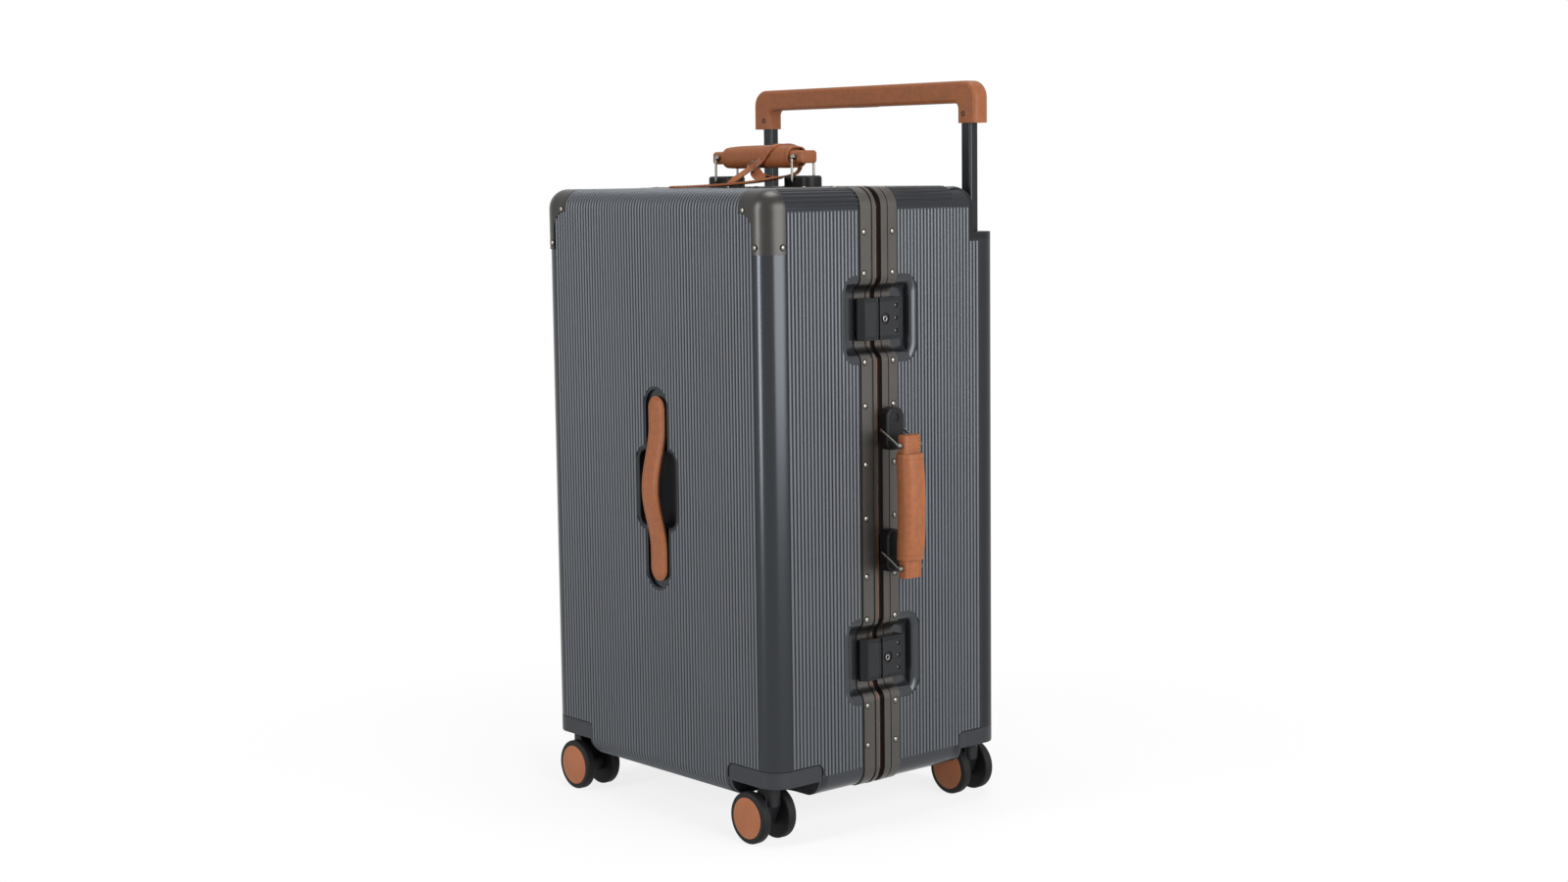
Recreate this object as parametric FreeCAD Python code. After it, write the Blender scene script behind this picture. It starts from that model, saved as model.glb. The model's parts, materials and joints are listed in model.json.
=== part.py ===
import FreeCAD, Part
import math
import os

from FreeCAD import Vector

# A trunk suitcase on four twin casters. Millimetres, +Z up, origin on the floor under its middle.
# The lid is the front half (-Y). The locks are on the +X side and the hinges on the -X side.

# Case
CASE_WIDTH = 424.0
CASE_DEPTH = 360.0
SHELL_BOTTOM = 49.0
SHELL_TOP = 737.0
CORNER_RADIUS = 25.0
EDGE_RADIUS = 22.0
WALL = 2.2
LINING = 1.0
LINING_GAP = 0.3

# Pressed ribs
RIB_PITCH = 5.3
RIB_WIDTH = 3.6
RIB_HEIGHT = 1.0
RIB_LIFT = 0.15
RIB_ROOT = 1.0
RIB_MARGIN = 2.0
SIDE_RIB_END = 24.0
RIB_RAMP_DEG = 35.0

# Frame rings, by their places along Y
LID_FLANGE = 14.0
LID_STEP = 4.0
LID_BEAD = 5.0
SEAL_FRONT = -21.5
SEAL_WIDTH = 3.0
TONGUE_GAP = 0.5
FRAME_GAP = 5.5
REAR_BAND = 11.0
REAR_GROOVE = 1.5
REAR_FLANGE = 13.5
FLANGE_PROUD = 1.4
STEP_PROUD = 0.6
BEAD_PROUD = 1.8
BAND_PROUD = 1.6
SEAL_PROUD = -1.2
GROOVE_PROUD = 0.4
FRAME_ROOT = 3.6
TONGUE_SUNK = 4.6
TONGUE_THICK = 2.4
FRAME_SLIT = 0.2

# Rivets
RIVET_RADIUS = 3.0
RIVET_HEIGHT = 1.2
RIVET_SIDES = 16
RIVET_CROWN = 1.2
LID_RIVET_INSET = 5.5
REAR_RIVET_INSET = 7.0
SIDE_RIVETS = (31.0, 98.0, 148.0, 248.5, 295.0)
END_RIVETS = (26.0, 112.0, 165.0)

# Lock bays and the frame's dip
LOCK_OFFSET = 196.0
BAY_DEPTH = 12.0
BAY_FRONT = -62.0
BAY_BACK = 34.0
BAY_HALF = 48.5
BAY_CORNER = 20.0
BAY_RIM = 8.0
DIP_DEG = 60.0

# Locks
LOCK_HALF = 24.0
LOCK_FACE = 1.5
LOCK_FRONT = -45.0
LOCK_CHAMFER = 6.0
LOCK_WALL_Y = -15.5
LOCK_BACK = 20.0
LOCK_ROUND = 2.0
LATCH_BARREL = 2.4
LATCH_PIN = 1.1
EAR_WIDTH = 5.0
KEY_Y = -7.5
KEY_RADIUS = 3.6
KEY_RECESS = 7.0
KEY_DEPTH = 8.0
KEY_SLOT = 1.2
DIAL_PITCH = 14.6
DIAL_RADIUS = 5.0
DIAL_THICK = 5.0
DIAL_PIN = 1.5
DIAL_TEETH = 10
DIAL_SHOW = 1.2
DIAL_COVER = 0.9
DIAL_WINDOW = 2.6
DIAL_WINDOW_Y = 10.0
STRIKE_THICK = 2.4
STRIKE_LENGTH = 12.0
STRIKE_HALF = 14.0

# Running and seating clearances
RUN = 0.05
SLIDE_GAP = 0.15
CLEAR = 0.3

# Wheel housings
HOUSING_X = 80.0
HOUSING_Y = 70.5
HOUSING_TOP = 87.0
HOUSING_FLOOR = 68.0
HOUSING_WALL = 3.0
HOUSING_END = 4.0
HOUSING_ROUND = 7.0
HOUSING_GAP = 0.7
HOUSING_CORNER = 40.0
HOUSING_LIP = 6.0
BOSS_RADIUS = 15.0

# Casters
STEM_INSET_X = 31.0
STEM_INSET_Y = 21.0
STEM_RADIUS = 9.0
STEM_END = 84.0
FORK_TOP = 65.0
FORK_WIDTH = 22.0
FORK_LEAD = 3.0
CASTER_TRAIL = 14.0
WHEEL_RADIUS = 30.0
WHEEL_WIDTH = 12.0
WHEEL_OFFSET = 18.75
TREAD_ROUND = 3.0
CAP_RADIUS = 24.5
CAP_THICK = 2.5
CAP_CROWN = 1.0
HUB_RADIUS = 13.0
AXLE_RADIUS = 4.0

# Corner guards
GUARD_THICK = 1.4
GUARD_DROP = 71.0
GUARD_WIDTH = 25.0
GUARD_REACH = 49.0
GUARD_FILLET = 22.0
GUARD_RIVET_INSET = 8.0

# Trolley
NOTCH_FRONT = 130.0
TRAY_WALL = 6.0
TRAY_UNDER = 675.0
TRAY_FLOOR = 8.4
RAIL_INNER_X = 169.0
RAIL_FRONT_Y = 149.0
RAIL_WALL = 2.0
TUBE_X = 181.3
TUBE_Y = 162.0
TUBE_WIDTH = 16.5
TUBE_DEPTH = 13.4
TUBE_ROUND = 3.0
TUBE_WALL = 1.4
TUBE_BOTTOM = 228.0
TUBE_SOCKET = 16.0
GRIP_HALF = 202.0
GRIP_LEG = 31.0
GRIP_DEPTH = 22.5
GRIP_BOTTOM = 811.0
GRIP_TOP = 860.6
GRIP_BAR = 26.0
GRIP_OUTER_ROUND = 20.0
GRIP_INNER_ROUND = 7.0
GRIP_EDGE = 5.0
BUTTON_LENGTH = 44.0
BUTTON_WIDTH = 10.0
BUTTON_HEIGHT = 8.0
BUTTON_SHOW = 0.4
BUTTON_TRAVEL = 3.0

# Carrying handles
HANDLE_Y = -4.0
MOUNT_PITCH = 141.0
MOUNT_LENGTH = 49.0
MOUNT_WIDTH = 28.0
MOUNT_THICK = 13.0
MOUNT_PIVOT = 5.0
MOUNT_EDGE = 3.0
MOUNT_SCREW = 5.0
MOUNT_SCREW_OUT = 13.0
WIRE_RADIUS = 1.5
WIRE_BEND = 3.0
WIRE_SEAT = 6.0
BAIL_HALF = 17.0
TOP_LINK = 30.0
SIDE_LINK = 34.0
SIDE_DROP_DEG = 29.0
HANDLE_LENGTH = 164.0
HANDLE_WIDTH = 25.0
HANDLE_THICK = 15.0
HANDLE_ROUND = 4.0
SLEEVE_LENGTH = 122.0
SLEEVE_WIDTH = 31.0
SLEEVE_THICK = 27.0
SLEEVE_ROUND = 11.0
OPEN_PIVOT = 0.3

# Luggage tag
TAG_LENGTH = 132.0
TAG_WIDTH = 58.0
TAG_THICK = 2.5
TAG_CORNER = 14.0
TAG_X = -1.0
TAG_Y = -62.0
TAG_TURN_DEG = 36.0
TAG_TILT_DEG = 3.5
TAG_LIFT = 5.5
TAG_STRAP_WIDTH = 9.0
TAG_STRAP_THICK = 2.0
TAG_LOOP_X = 22.0
TAG_LOOP_SIDE = 2.0
TAG_LOOP_SLACK = 7.0
TAG_LOOP_ROUND = 12.0
TAG_TAIL_LIFT = 2.2

# Front strap handle
STRAP_X = 8.0
STRAP_Z = 391.0
STRAP_WIDTH = 30.0
STRAP_LENGTH = 217.0
STRAP_THICK = 4.5
STRAP_BOW = 13.4
STRAP_END_FLAT = 34.0
POCKET_WIDTH = 40.0
POCKET_LENGTH = 234.0
POCKET_DEPTH = 3.0
POCKET_RIM = 3.0
CUP_WIDTH = 72.0
CUP_LENGTH = 93.0
CUP_CORNER = 14.0
CUP_DEPTH = 26.0
CUP_WALL = 2.0
CUP_FLANGE = 2.5

# Hinges and feet
HINGE_OFFSETS = (-230.0, 0.0, 230.0)
HINGE_HALF = 30.0
HINGE_SPLIT = 15.0
HINGE_LEAF = 2.2
HINGE_BARREL = 3.4
HINGE_PIN = 1.5
HINGE_LEAF_REACH = 26.0
FOOT_RADIUS = 13.0
FOOT_HEIGHT = 14.0
FOOT_TAPER = 3.0
FOOT_FROM_MID = 190.0
LID_FOOT_Y = -120.0
REAR_FOOT_Y = 90.0

# Packing straps
PACK_STRAP_WIDTH = 28.0
PACK_STRAP_THICK = 1.6
PACK_STRAP_HALF_X = 140.0
PACK_STRAP_HALF_Z = 215.0
PACK_BUCKLE = 54.0
PACK_BUCKLE_THICK = 7.0

# Places worked out from the sizes above
HALF_WIDTH = CASE_WIDTH / 2
HALF_DEPTH = CASE_DEPTH / 2
MID_Z = (SHELL_BOTTOM + SHELL_TOP) / 2
BEAD_FRONT = SEAL_FRONT - LID_BEAD
STEP_FRONT = BEAD_FRONT - LID_STEP
LID_FRAME_FRONT = STEP_FRONT - LID_FLANGE
SEAL_BACK = SEAL_FRONT + SEAL_WIDTH
BAND_FRONT = SEAL_BACK + FRAME_GAP
BAND_BACK = BAND_FRONT + REAR_BAND
REAR_FRAME_BACK = BAND_BACK + REAR_FLANGE
LOCK_HEIGHTS = (MID_Z - LOCK_OFFSET, MID_Z + LOCK_OFFSET)
BAY_FLOOR_X = HALF_WIDTH - BAY_DEPTH
LATCH_AXIS_Y = LOCK_WALL_Y - CLEAR - LATCH_BARREL
STEM_X = HALF_WIDTH - STEM_INSET_X
STEM_Y = HALF_DEPTH - STEM_INSET_Y
FAR = 2000.0
TINY = 1e-6


def on_xz(y):
    return lambda u, v: Vector(u, y, v)


def on_yz(x):
    return lambda u, v: Vector(x, u, v)


def on_xy(z):
    return lambda u, v: Vector(u, v, z)


class Outline:
    """A flat outline of straight runs and arcs, laid in space by a mapping of (u, v)."""

    def __init__(self, u, v):
        self.start = (u, v)
        self.here = (u, v)
        self.runs = []

    def line(self, u, v):
        if math.dist(self.here, (u, v)) > TINY:
            self.runs.append((self.here, None, (u, v)))
            self.here = (u, v)
        return self

    def arc(self, centre_u, centre_v, radius, from_deg, to_deg):
        points = []
        for degrees in (from_deg, (from_deg + to_deg) / 2, to_deg):
            turn = math.radians(degrees)
            points.append((centre_u + radius * math.cos(turn), centre_v + radius * math.sin(turn)))
        if self.runs:
            self.line(*points[0])
        else:
            self.start = points[0]
        self.runs.append(tuple(points))
        self.here = points[2]
        return self

    def wire(self, place):
        self.line(*self.start)
        edges = []
        for first, middle, last in self.runs:
            if middle is None:
                edges.append(Part.LineSegment(place(*first), place(*last)).toShape())
            else:
                edges.append(Part.Arc(place(*first), place(*middle), place(*last)).toShape())
        return Part.Wire(edges)

    def prism(self, place, travel):
        return Part.Face(self.wire(place)).extrude(travel)


def rounded_rect(u0, u1, v0, v1, radius):
    outline = Outline(u0 + radius, v0)
    outline.arc(u1 - radius, v0 + radius, radius, -90, 0)
    outline.arc(u1 - radius, v1 - radius, radius, 0, 90)
    outline.arc(u0 + radius, v1 - radius, radius, 90, 180)
    outline.arc(u0 + radius, v0 + radius, radius, 180, 270)
    return outline


def centred_rect(width, height, radius):
    return rounded_rect(-width / 2, width / 2, -height / 2, height / 2, radius)


def span(x0, x1, y0, y1, z0, z1):
    return Part.makeBox(x1 - x0, y1 - y0, z1 - z0, Vector(x0, y0, z0))


def rod(radius, start, end):
    run = end - start
    return Part.makeCylinder(radius, run.Length, start, run)


def flip_x(shape):
    return shape.mirror(Vector(0, 0, 0), Vector(1, 0, 0))


def flip_y(shape):
    return shape.mirror(Vector(0, 0, 0), Vector(0, 1, 0))


def moved(shape, x=0.0, y=0.0, z=0.0):
    copy = shape.copy()
    copy.translate(Vector(x, y, z))
    return copy


def turned(shape, centre, axis, degrees):
    copy = shape.copy()
    copy.rotate(centre, axis, degrees)
    return copy


def edges_along(shape, axis):
    found = []
    for edge in shape.Edges:
        run = edge.lastVertex().Point - edge.firstVertex().Point
        if run.Length > TINY and abs(run.normalize().dot(axis)) > 1 - TINY:
            found.append(edge)
    return found


def softened(shape, axis, radius):
    return shape.makeFillet(radius, edges_along(shape, axis))


def case_body(offset):
    """The whole case as one soft-edged block, grown or shrunk all round."""
    corner = CORNER_RADIUS + offset
    edge = min(EDGE_RADIUS + offset, corner - 1.0)
    low = SHELL_BOTTOM - offset
    high = SHELL_TOP + offset
    reach_x = HALF_WIDTH + offset
    reach_y = HALF_DEPTH + offset
    block = softened(span(-reach_x, reach_x, -reach_y, reach_y, low, high), Vector(0, 0, 1), corner)
    rims = []
    for edge_piece in block.Edges:
        box = edge_piece.BoundBox
        if box.ZLength < TINY:
            rims.append(edge_piece)
    return block.makeFillet(edge, rims)


def frame_outline(offset):
    """The case's outline across its width, with a dip at each lock."""
    reach = HALF_WIDTH + offset
    corner = EDGE_RADIUS + offset
    low = SHELL_BOTTOM - offset
    high = SHELL_TOP + offset
    outline = Outline(-reach + corner, low)
    outline.arc(reach - corner, low + corner, corner, -90, 0)
    for height in LOCK_HEIGHTS:
        add_dip(outline, height, offset)
    outline.arc(reach - corner, high - corner, corner, 0, 90)
    outline.arc(-reach + corner, high - corner, corner, 90, 180)
    outline.arc(-reach + corner, low + corner, corner, 180, 270)
    return outline


def add_dip(outline, height, offset):
    bend = BAY_DEPTH / (1 - math.cos(math.radians(DIP_DEG))) / 2
    outer_u = HALF_WIDTH - bend
    inner_u = outer_u + 2 * bend * math.cos(math.radians(DIP_DEG))
    inner_v = BAY_HALF - 2 * bend * math.sin(math.radians(DIP_DEG))
    outline.arc(outer_u, height - BAY_HALF, bend + offset, 0, DIP_DEG)
    outline.arc(inner_u, height - inner_v, bend - offset, 180 + DIP_DEG, 180)
    outline.arc(inner_u, height + inner_v, bend - offset, 180, 180 - DIP_DEG)
    outline.arc(outer_u, height + BAY_HALF, bend + offset, -DIP_DEG, 0)


def frame_ring(outer, inner, front, back):
    travel = Vector(0, back - front, 0)
    inside = frame_outline(inner).prism(on_xz(front), travel)
    return frame_outline(outer).prism(on_xz(front), travel).cut(inside)


def rib_centres(half_span):
    count = int(2 * half_span / RIB_PITCH)
    return [(index - (count - 1) / 2) * RIB_PITCH for index in range(count)]


def rib_profile(centres):
    """A strip of half-round ribs in section: u across the ribs, v outwards from the panel."""
    bulge = (RIB_WIDTH ** 2 / 4 + RIB_HEIGHT ** 2) / (2 * RIB_HEIGHT)
    half_deg = math.degrees(math.asin(RIB_WIDTH / 2 / bulge))
    edge = RIB_PITCH / 2
    outline = Outline(centres[0] - edge, -RIB_ROOT)
    outline.line(centres[0] - edge, RIB_LIFT)
    for centre in centres:
        outline.arc(centre, RIB_LIFT + RIB_HEIGHT - bulge, bulge, 90 + half_deg, 90 - half_deg)
    outline.line(centres[-1] + edge, RIB_LIFT)
    outline.line(centres[-1] + edge, -RIB_ROOT)
    return outline


def wrapped_ribs(side, half_span, bottom_end, top_z, top_end):
    """Ribs that run under the case, up its front (side -1) or back (side 1), and over the top."""
    profile = rib_profile(rib_centres(half_span))
    face_y = side * HALF_DEPTH
    bend_y = side * (HALF_DEPTH - EDGE_RADIUS)
    low = SHELL_BOTTOM + EDGE_RADIUS
    upright = Part.Face(profile.wire(lambda u, v: Vector(u, face_y + side * v, low)))
    under = Part.Face(profile.wire(lambda u, v: Vector(u, bend_y, SHELL_BOTTOM - v)))
    pieces = [upright.extrude(Vector(0, 0, top_z - low))]
    pieces.append(upright.revolve(Vector(0, bend_y, low), Vector(1, 0, 0), -side * 90))
    pieces.append(under.extrude(Vector(0, bottom_end - bend_y, 0)))
    if top_end is not None:
        high = SHELL_TOP - EDGE_RADIUS
        crown = Part.Face(profile.wire(lambda u, v: Vector(u, face_y + side * v, high)))
        over = Part.Face(profile.wire(lambda u, v: Vector(u, bend_y, SHELL_TOP + v)))
        pieces.append(crown.revolve(Vector(0, bend_y, high), Vector(1, 0, 0), side * 90))
        pieces.append(over.extrude(Vector(0, top_end - bend_y, 0)))
    return pieces


def side_ribs(y0, y1):
    """Upright ribs on the +X side between two places along Y, with ramped ends."""
    middle = (y0 + y1) / 2
    centres = [middle + centre for centre in rib_centres((y1 - y0) / 2)]
    low = SHELL_BOTTOM + SIDE_RIB_END
    high = SHELL_TOP - SIDE_RIB_END
    rise = Vector(0, 0, high - low)
    strip = rib_profile(centres).prism(lambda u, v: Vector(HALF_WIDTH + v, u, low), rise)
    for z, sign in ((low, 1), (high, -1)):
        corner = Vector(HALF_WIDTH, 0, z)
        ramp = span(HALF_WIDTH, HALF_WIDTH + FAR, -FAR, FAR, z - FAR, z)
        if sign < 0:
            ramp = span(HALF_WIDTH, HALF_WIDTH + FAR, -FAR, FAR, z, z + FAR)
        strip = strip.cut(turned(ramp, corner, Vector(0, 1, 0), -sign * (90 - RIB_RAMP_DEG)))
    return strip


def edge_ribs(y0, y1):
    """Ribs along Y that carry the top's pattern over the rounded edge to the +X side."""
    bulge = (RIB_WIDTH ** 2 / 4 + RIB_HEIGHT ** 2) / (2 * RIB_HEIGHT)
    axis_x = HALF_WIDTH - EDGE_RADIUS
    axis_z = SHELL_TOP - EDGE_RADIUS
    reach = EDGE_RADIUS + RIB_LIFT + RIB_HEIGHT - bulge
    place = rib_centres(HALF_WIDTH - CORNER_RADIUS)[-1] + RIB_PITCH
    ribs = []
    while place - axis_x < EDGE_RADIUS * math.pi / 2 - RIB_WIDTH / 2:
        around = math.pi / 2 - max(0.0, place - axis_x) / EDGE_RADIUS
        x = min(place, axis_x) + reach * math.cos(around)
        z = axis_z + reach * math.sin(around)
        ribs.append(rod(bulge, Vector(x, y0, z), Vector(x, y1, z)))
        place += RIB_PITCH
    return [rib.cut(case_body(-RIB_ROOT)) for rib in ribs]


def housing_zone(margin, top):
    """The corner at +X, -Y that a wheel housing takes out of the shell."""
    x0 = HALF_WIDTH - HOUSING_X - margin
    y1 = -HALF_DEPTH + HOUSING_Y + margin
    block = span(x0, HALF_WIDTH + FAR, -HALF_DEPTH - FAR, y1, -FAR, top)
    inner = [edge for edge in edges_along(block, Vector(0, 0, 1))
             if abs(edge.firstVertex().Point.x - x0) < TINY and abs(edge.firstVertex().Point.y - y1) < TINY]
    block = block.makeFillet(HOUSING_CORNER + margin, inner)
    rims = []
    for edge in block.Edges:
        box = edge.BoundBox
        if box.ZMin > top - 1 and (box.XMin < x0 + 1 or box.YMax > y1 - 1):
            rims.append(edge)
    return block.makeFillet(HOUSING_ROUND + margin, rims)


def four_corners(shape, side):
    """A shape made at +X, -Y, and its mirror image, on the front (-1) or back (1) half."""
    if side > 0:
        shape = flip_y(shape)
    return [shape, flip_x(shape)]


def bay_cut(height):
    """The soft-rimmed recess that a lock sits in."""
    bend_outline = Outline(HALF_WIDTH + FAR, height - BAY_HALF)
    bend_outline.line(HALF_WIDTH, height - BAY_HALF)
    add_dip(bend_outline, height, 0.0)
    bend_outline.line(HALF_WIDTH + FAR, height + BAY_HALF)
    dip = bend_outline.prism(on_xz(BAY_FRONT - BAY_RIM), Vector(0, BAY_BACK - BAY_FRONT + 2 * BAY_RIM, 0))
    low = height - BAY_HALF
    high = height + BAY_HALF
    inner = rounded_rect(BAY_FRONT, BAY_BACK, low, high, BAY_CORNER)
    well = inner.prism(on_yz(BAY_FLOOR_X), Vector(FAR, 0, 0))
    return dip.common(well.fuse(rim_flare(BAY_FRONT, BAY_BACK, low, high, BAY_CORNER)))


def rim_flare(y0, y1, z0, z1, corner):
    """What a rounded rim takes away round a recess in the +X side."""
    outer = rounded_rect(y0 - BAY_RIM, y1 + BAY_RIM, z0 - BAY_RIM, z1 + BAY_RIM, corner + BAY_RIM)
    base_x = HALF_WIDTH - BAY_RIM
    slab = outer.prism(on_yz(base_x), Vector(2 * BAY_RIM, 0, 0))
    path = outer.wire(on_yz(base_x))
    ring = Part.makeCircle(BAY_RIM, Vector(base_x, (y0 + y1) / 2, z0 - BAY_RIM), Vector(0, 1, 0))
    round_edge = path.makePipeShell([Part.Wire(ring)], True, False)
    return slab.cut(round_edge)


def bay_zone(height, margin):
    """The block that a bay takes out of the room inside."""
    reach = WALL + margin
    x0 = BAY_FLOOR_X - reach
    half = BAY_HALF + margin
    return span(x0, FAR, BAY_FRONT - reach, BAY_BACK + reach, height - half, height + half)


def strap_outline(half_width, half_length, corner):
    """A rounded rectangle round the strap's centre, seen from the front."""
    low_z = STRAP_Z - half_length
    high_z = STRAP_Z + half_length
    return rounded_rect(STRAP_X - half_width, STRAP_X + half_width, low_z, high_z, corner)


def pocket_outline(margin):
    return strap_outline(POCKET_WIDTH / 2 + margin, POCKET_LENGTH / 2 + margin, POCKET_WIDTH / 2 + margin)


def cup_outline(margin):
    return strap_outline(CUP_WIDTH / 2 + margin, CUP_LENGTH / 2 + margin, CUP_CORNER + margin)


def guard_region(margin):
    """Front view of the guard at the +X top corner, carried back over the corner and the top edge."""
    inner_x = HALF_WIDTH - GUARD_WIDTH - margin
    end_x = HALF_WIDTH - GUARD_REACH - margin
    arm_z = SHELL_TOP - GUARD_WIDTH - margin
    low = SHELL_TOP - GUARD_DROP - margin
    fillet = GUARD_FILLET
    outline = Outline(inner_x, low)
    outline.line(HALF_WIDTH + FAR, low)
    outline.line(HALF_WIDTH + FAR, SHELL_TOP + FAR)
    outline.line(end_x, SHELL_TOP + FAR)
    outline.line(end_x, arm_z)
    outline.arc(inner_x - fillet, arm_z - fillet, fillet, 90, 0)
    depth = GUARD_WIDTH + margin
    return outline.prism(on_xz(-HALF_DEPTH - FAR), Vector(0, FAR + depth, 0))


def notch_cut(wall, floor):
    """The step across the rear top edge where the trolley grip folds away."""
    bend = EDGE_RADIUS + wall
    front = NOTCH_FRONT + wall
    low = TRAY_UNDER + floor
    top = SHELL_TOP + wall
    outline = Outline(front + FAR, low)
    outline.line(front + FAR, top + FAR)
    outline.line(front - bend, top + FAR)
    outline.arc(front - bend, top - bend, bend, 90, 0)
    outline.line(front, low)
    return outline.prism(on_yz(-FAR), Vector(2 * FAR, 0, 0))


def rail_zone(margin, top):
    x0 = RAIL_INNER_X - margin
    y0 = RAIL_FRONT_Y - margin
    return span(x0, FAR, y0, FAR, -FAR, top)


def front_shell():
    half_space = span(-FAR, FAR, -FAR, STEP_FRONT, -FAR, FAR)
    bays = [bay_cut(height) for height in LOCK_HEIGHTS]
    pocket = pocket_outline(0.0).prism(on_xz(-HALF_DEPTH - FAR), Vector(0, FAR + POCKET_DEPTH, 0))
    back_run = Vector(0, FAR + POCKET_DEPTH + WALL, 0)
    pocket_back = pocket_outline(WALL).prism(on_xz(-HALF_DEPTH - FAR), back_run)
    room = case_body(-WALL).cut([bay_zone(height, 0.0) for height in LOCK_HEIGHTS] + [pocket_back])
    shell = case_body(0.0).common(half_space).cut(bays + [pocket]).cut(room)
    smooth = [pocket_outline(POCKET_RIM).prism(on_xz(-FAR), Vector(0, FAR, 0))]
    smooth.append(cup_outline(POCKET_RIM).prism(on_xz(-FAR), Vector(0, FAR, 0)))
    smooth += [guard_region(CLEAR), flip_x(guard_region(CLEAR))]
    smooth += four_corners(housing_zone(RIB_MARGIN, HOUSING_TOP + RIB_MARGIN), -1)
    end = LID_FRAME_FRONT - CLEAR
    half_span = HALF_WIDTH - CORNER_RADIUS
    ribs = wrapped_ribs(-1, half_span, end, SHELL_TOP - EDGE_RADIUS, end)
    upright = side_ribs(-HALF_DEPTH + CORNER_RADIUS, end)
    ribs += [upright.cut([bay_margin(height) for height in LOCK_HEIGHTS]), flip_x(upright)]
    for rib in edge_ribs(-HALF_DEPTH, end):
        ribs += [rib, flip_x(rib)]
    shell = shell.fuse([rib.cut(smooth) for rib in ribs])
    cuts = four_corners(housing_zone(HOUSING_GAP, HOUSING_TOP + HOUSING_GAP), -1)
    cuts.append(cup_outline(0.0).prism(on_xz(-FAR), Vector(0, FAR, 0)))
    cuts += [frame_seat(height, LID_FRAME_FRONT - FRAME_SLIT, STEP_FRONT + 1) for height in LOCK_HEIGHTS]
    return shell.cut(cuts)


def bay_margin(height):
    reach = BAY_RIM + RIB_MARGIN
    outline = rounded_rect(BAY_FRONT - reach, BAY_BACK + reach, height - BAY_HALF - RIB_MARGIN,
                           height + BAY_HALF + RIB_MARGIN, BAY_CORNER)
    return outline.prism(on_yz(0.0), Vector(FAR, 0, 0))


def frame_seat(height, y0, y1):
    """Clears the shell from under the dipped stretch of the frame."""
    return span(BAY_FLOOR_X - 2 * WALL, FAR, y0, y1, height - BAY_HALF, height + BAY_HALF)


def rear_shell():
    half_space = span(-FAR, FAR, BAND_BACK, FAR, -FAR, FAR)
    bays = [bay_cut(height) for height in LOCK_HEIGHTS]
    room = case_body(-WALL).cut([bay_zone(height, 0.0) for height in LOCK_HEIGHTS])
    shell = case_body(0.0).common(half_space).cut(bays).cut(room)
    start = REAR_FRAME_BACK + CLEAR
    smooth = four_corners(housing_zone(RIB_MARGIN, HOUSING_TOP + RIB_MARGIN), 1)
    ribs = wrapped_ribs(1, RAIL_INNER_X - RIB_MARGIN, start, TRAY_UNDER - RIB_MARGIN, None)
    top_profile = rib_profile(rib_centres(HALF_WIDTH - CORNER_RADIUS))
    top_run = NOTCH_FRONT - EDGE_RADIUS - RIB_MARGIN - start
    ribs.append(top_profile.prism(lambda u, v: Vector(u, start, SHELL_TOP + v), Vector(0, top_run, 0)))
    upright = side_ribs(start, RAIL_FRONT_Y - RIB_MARGIN).cut(notch_cut(-RIB_MARGIN, -RIB_MARGIN))
    ribs += [upright.cut([bay_margin(height) for height in LOCK_HEIGHTS]), flip_x(upright)]
    for rib in edge_ribs(start, start + top_run):
        ribs += [rib, flip_x(rib)]
    shell = shell.fuse([rib.cut(smooth) for rib in ribs])
    cuts = four_corners(housing_zone(HOUSING_GAP, HOUSING_TOP + HOUSING_GAP), 1)
    cuts += [notch_cut(0.0, 0.0), rail_zone(0.0, TRAY_UNDER), flip_x(rail_zone(0.0, TRAY_UNDER))]
    cuts += [frame_seat(height, BAND_BACK - 1, REAR_FRAME_BACK + FRAME_SLIT) for height in LOCK_HEIGHTS]
    return shell.cut(cuts)


def front_frame():
    flange = frame_ring(FLANGE_PROUD, 0.0, LID_FRAME_FRONT, STEP_FRONT)
    step = frame_ring(STEP_PROUD, -FRAME_ROOT, STEP_FRONT, BEAD_FRONT)
    lip = frame_ring(FLANGE_PROUD, 0.0, STEP_FRONT, STEP_FRONT + STEP_PROUD)
    bead = frame_ring(BEAD_PROUD, -FRAME_ROOT, BEAD_FRONT, SEAL_FRONT)
    return flange.fuse([step, lip, bead])


def rear_frame():
    tongue = frame_ring(-TONGUE_SUNK, -TONGUE_SUNK - TONGUE_THICK, SEAL_BACK + TONGUE_GAP, BAND_BACK)
    band = frame_ring(BAND_PROUD, -FRAME_ROOT - TONGUE_THICK, BAND_FRONT, BAND_BACK)
    groove = frame_ring(BAND_PROUD + 1, GROOVE_PROUD, BAND_BACK - REAR_GROOVE, BAND_BACK)
    flange = frame_ring(FLANGE_PROUD, 0.0, BAND_BACK, REAR_FRAME_BACK)
    return band.cut(groove).fuse([tongue, flange])


def frame_seal():
    return frame_ring(SEAL_PROUD, -FRAME_ROOT, SEAL_FRONT, SEAL_BACK)


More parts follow.
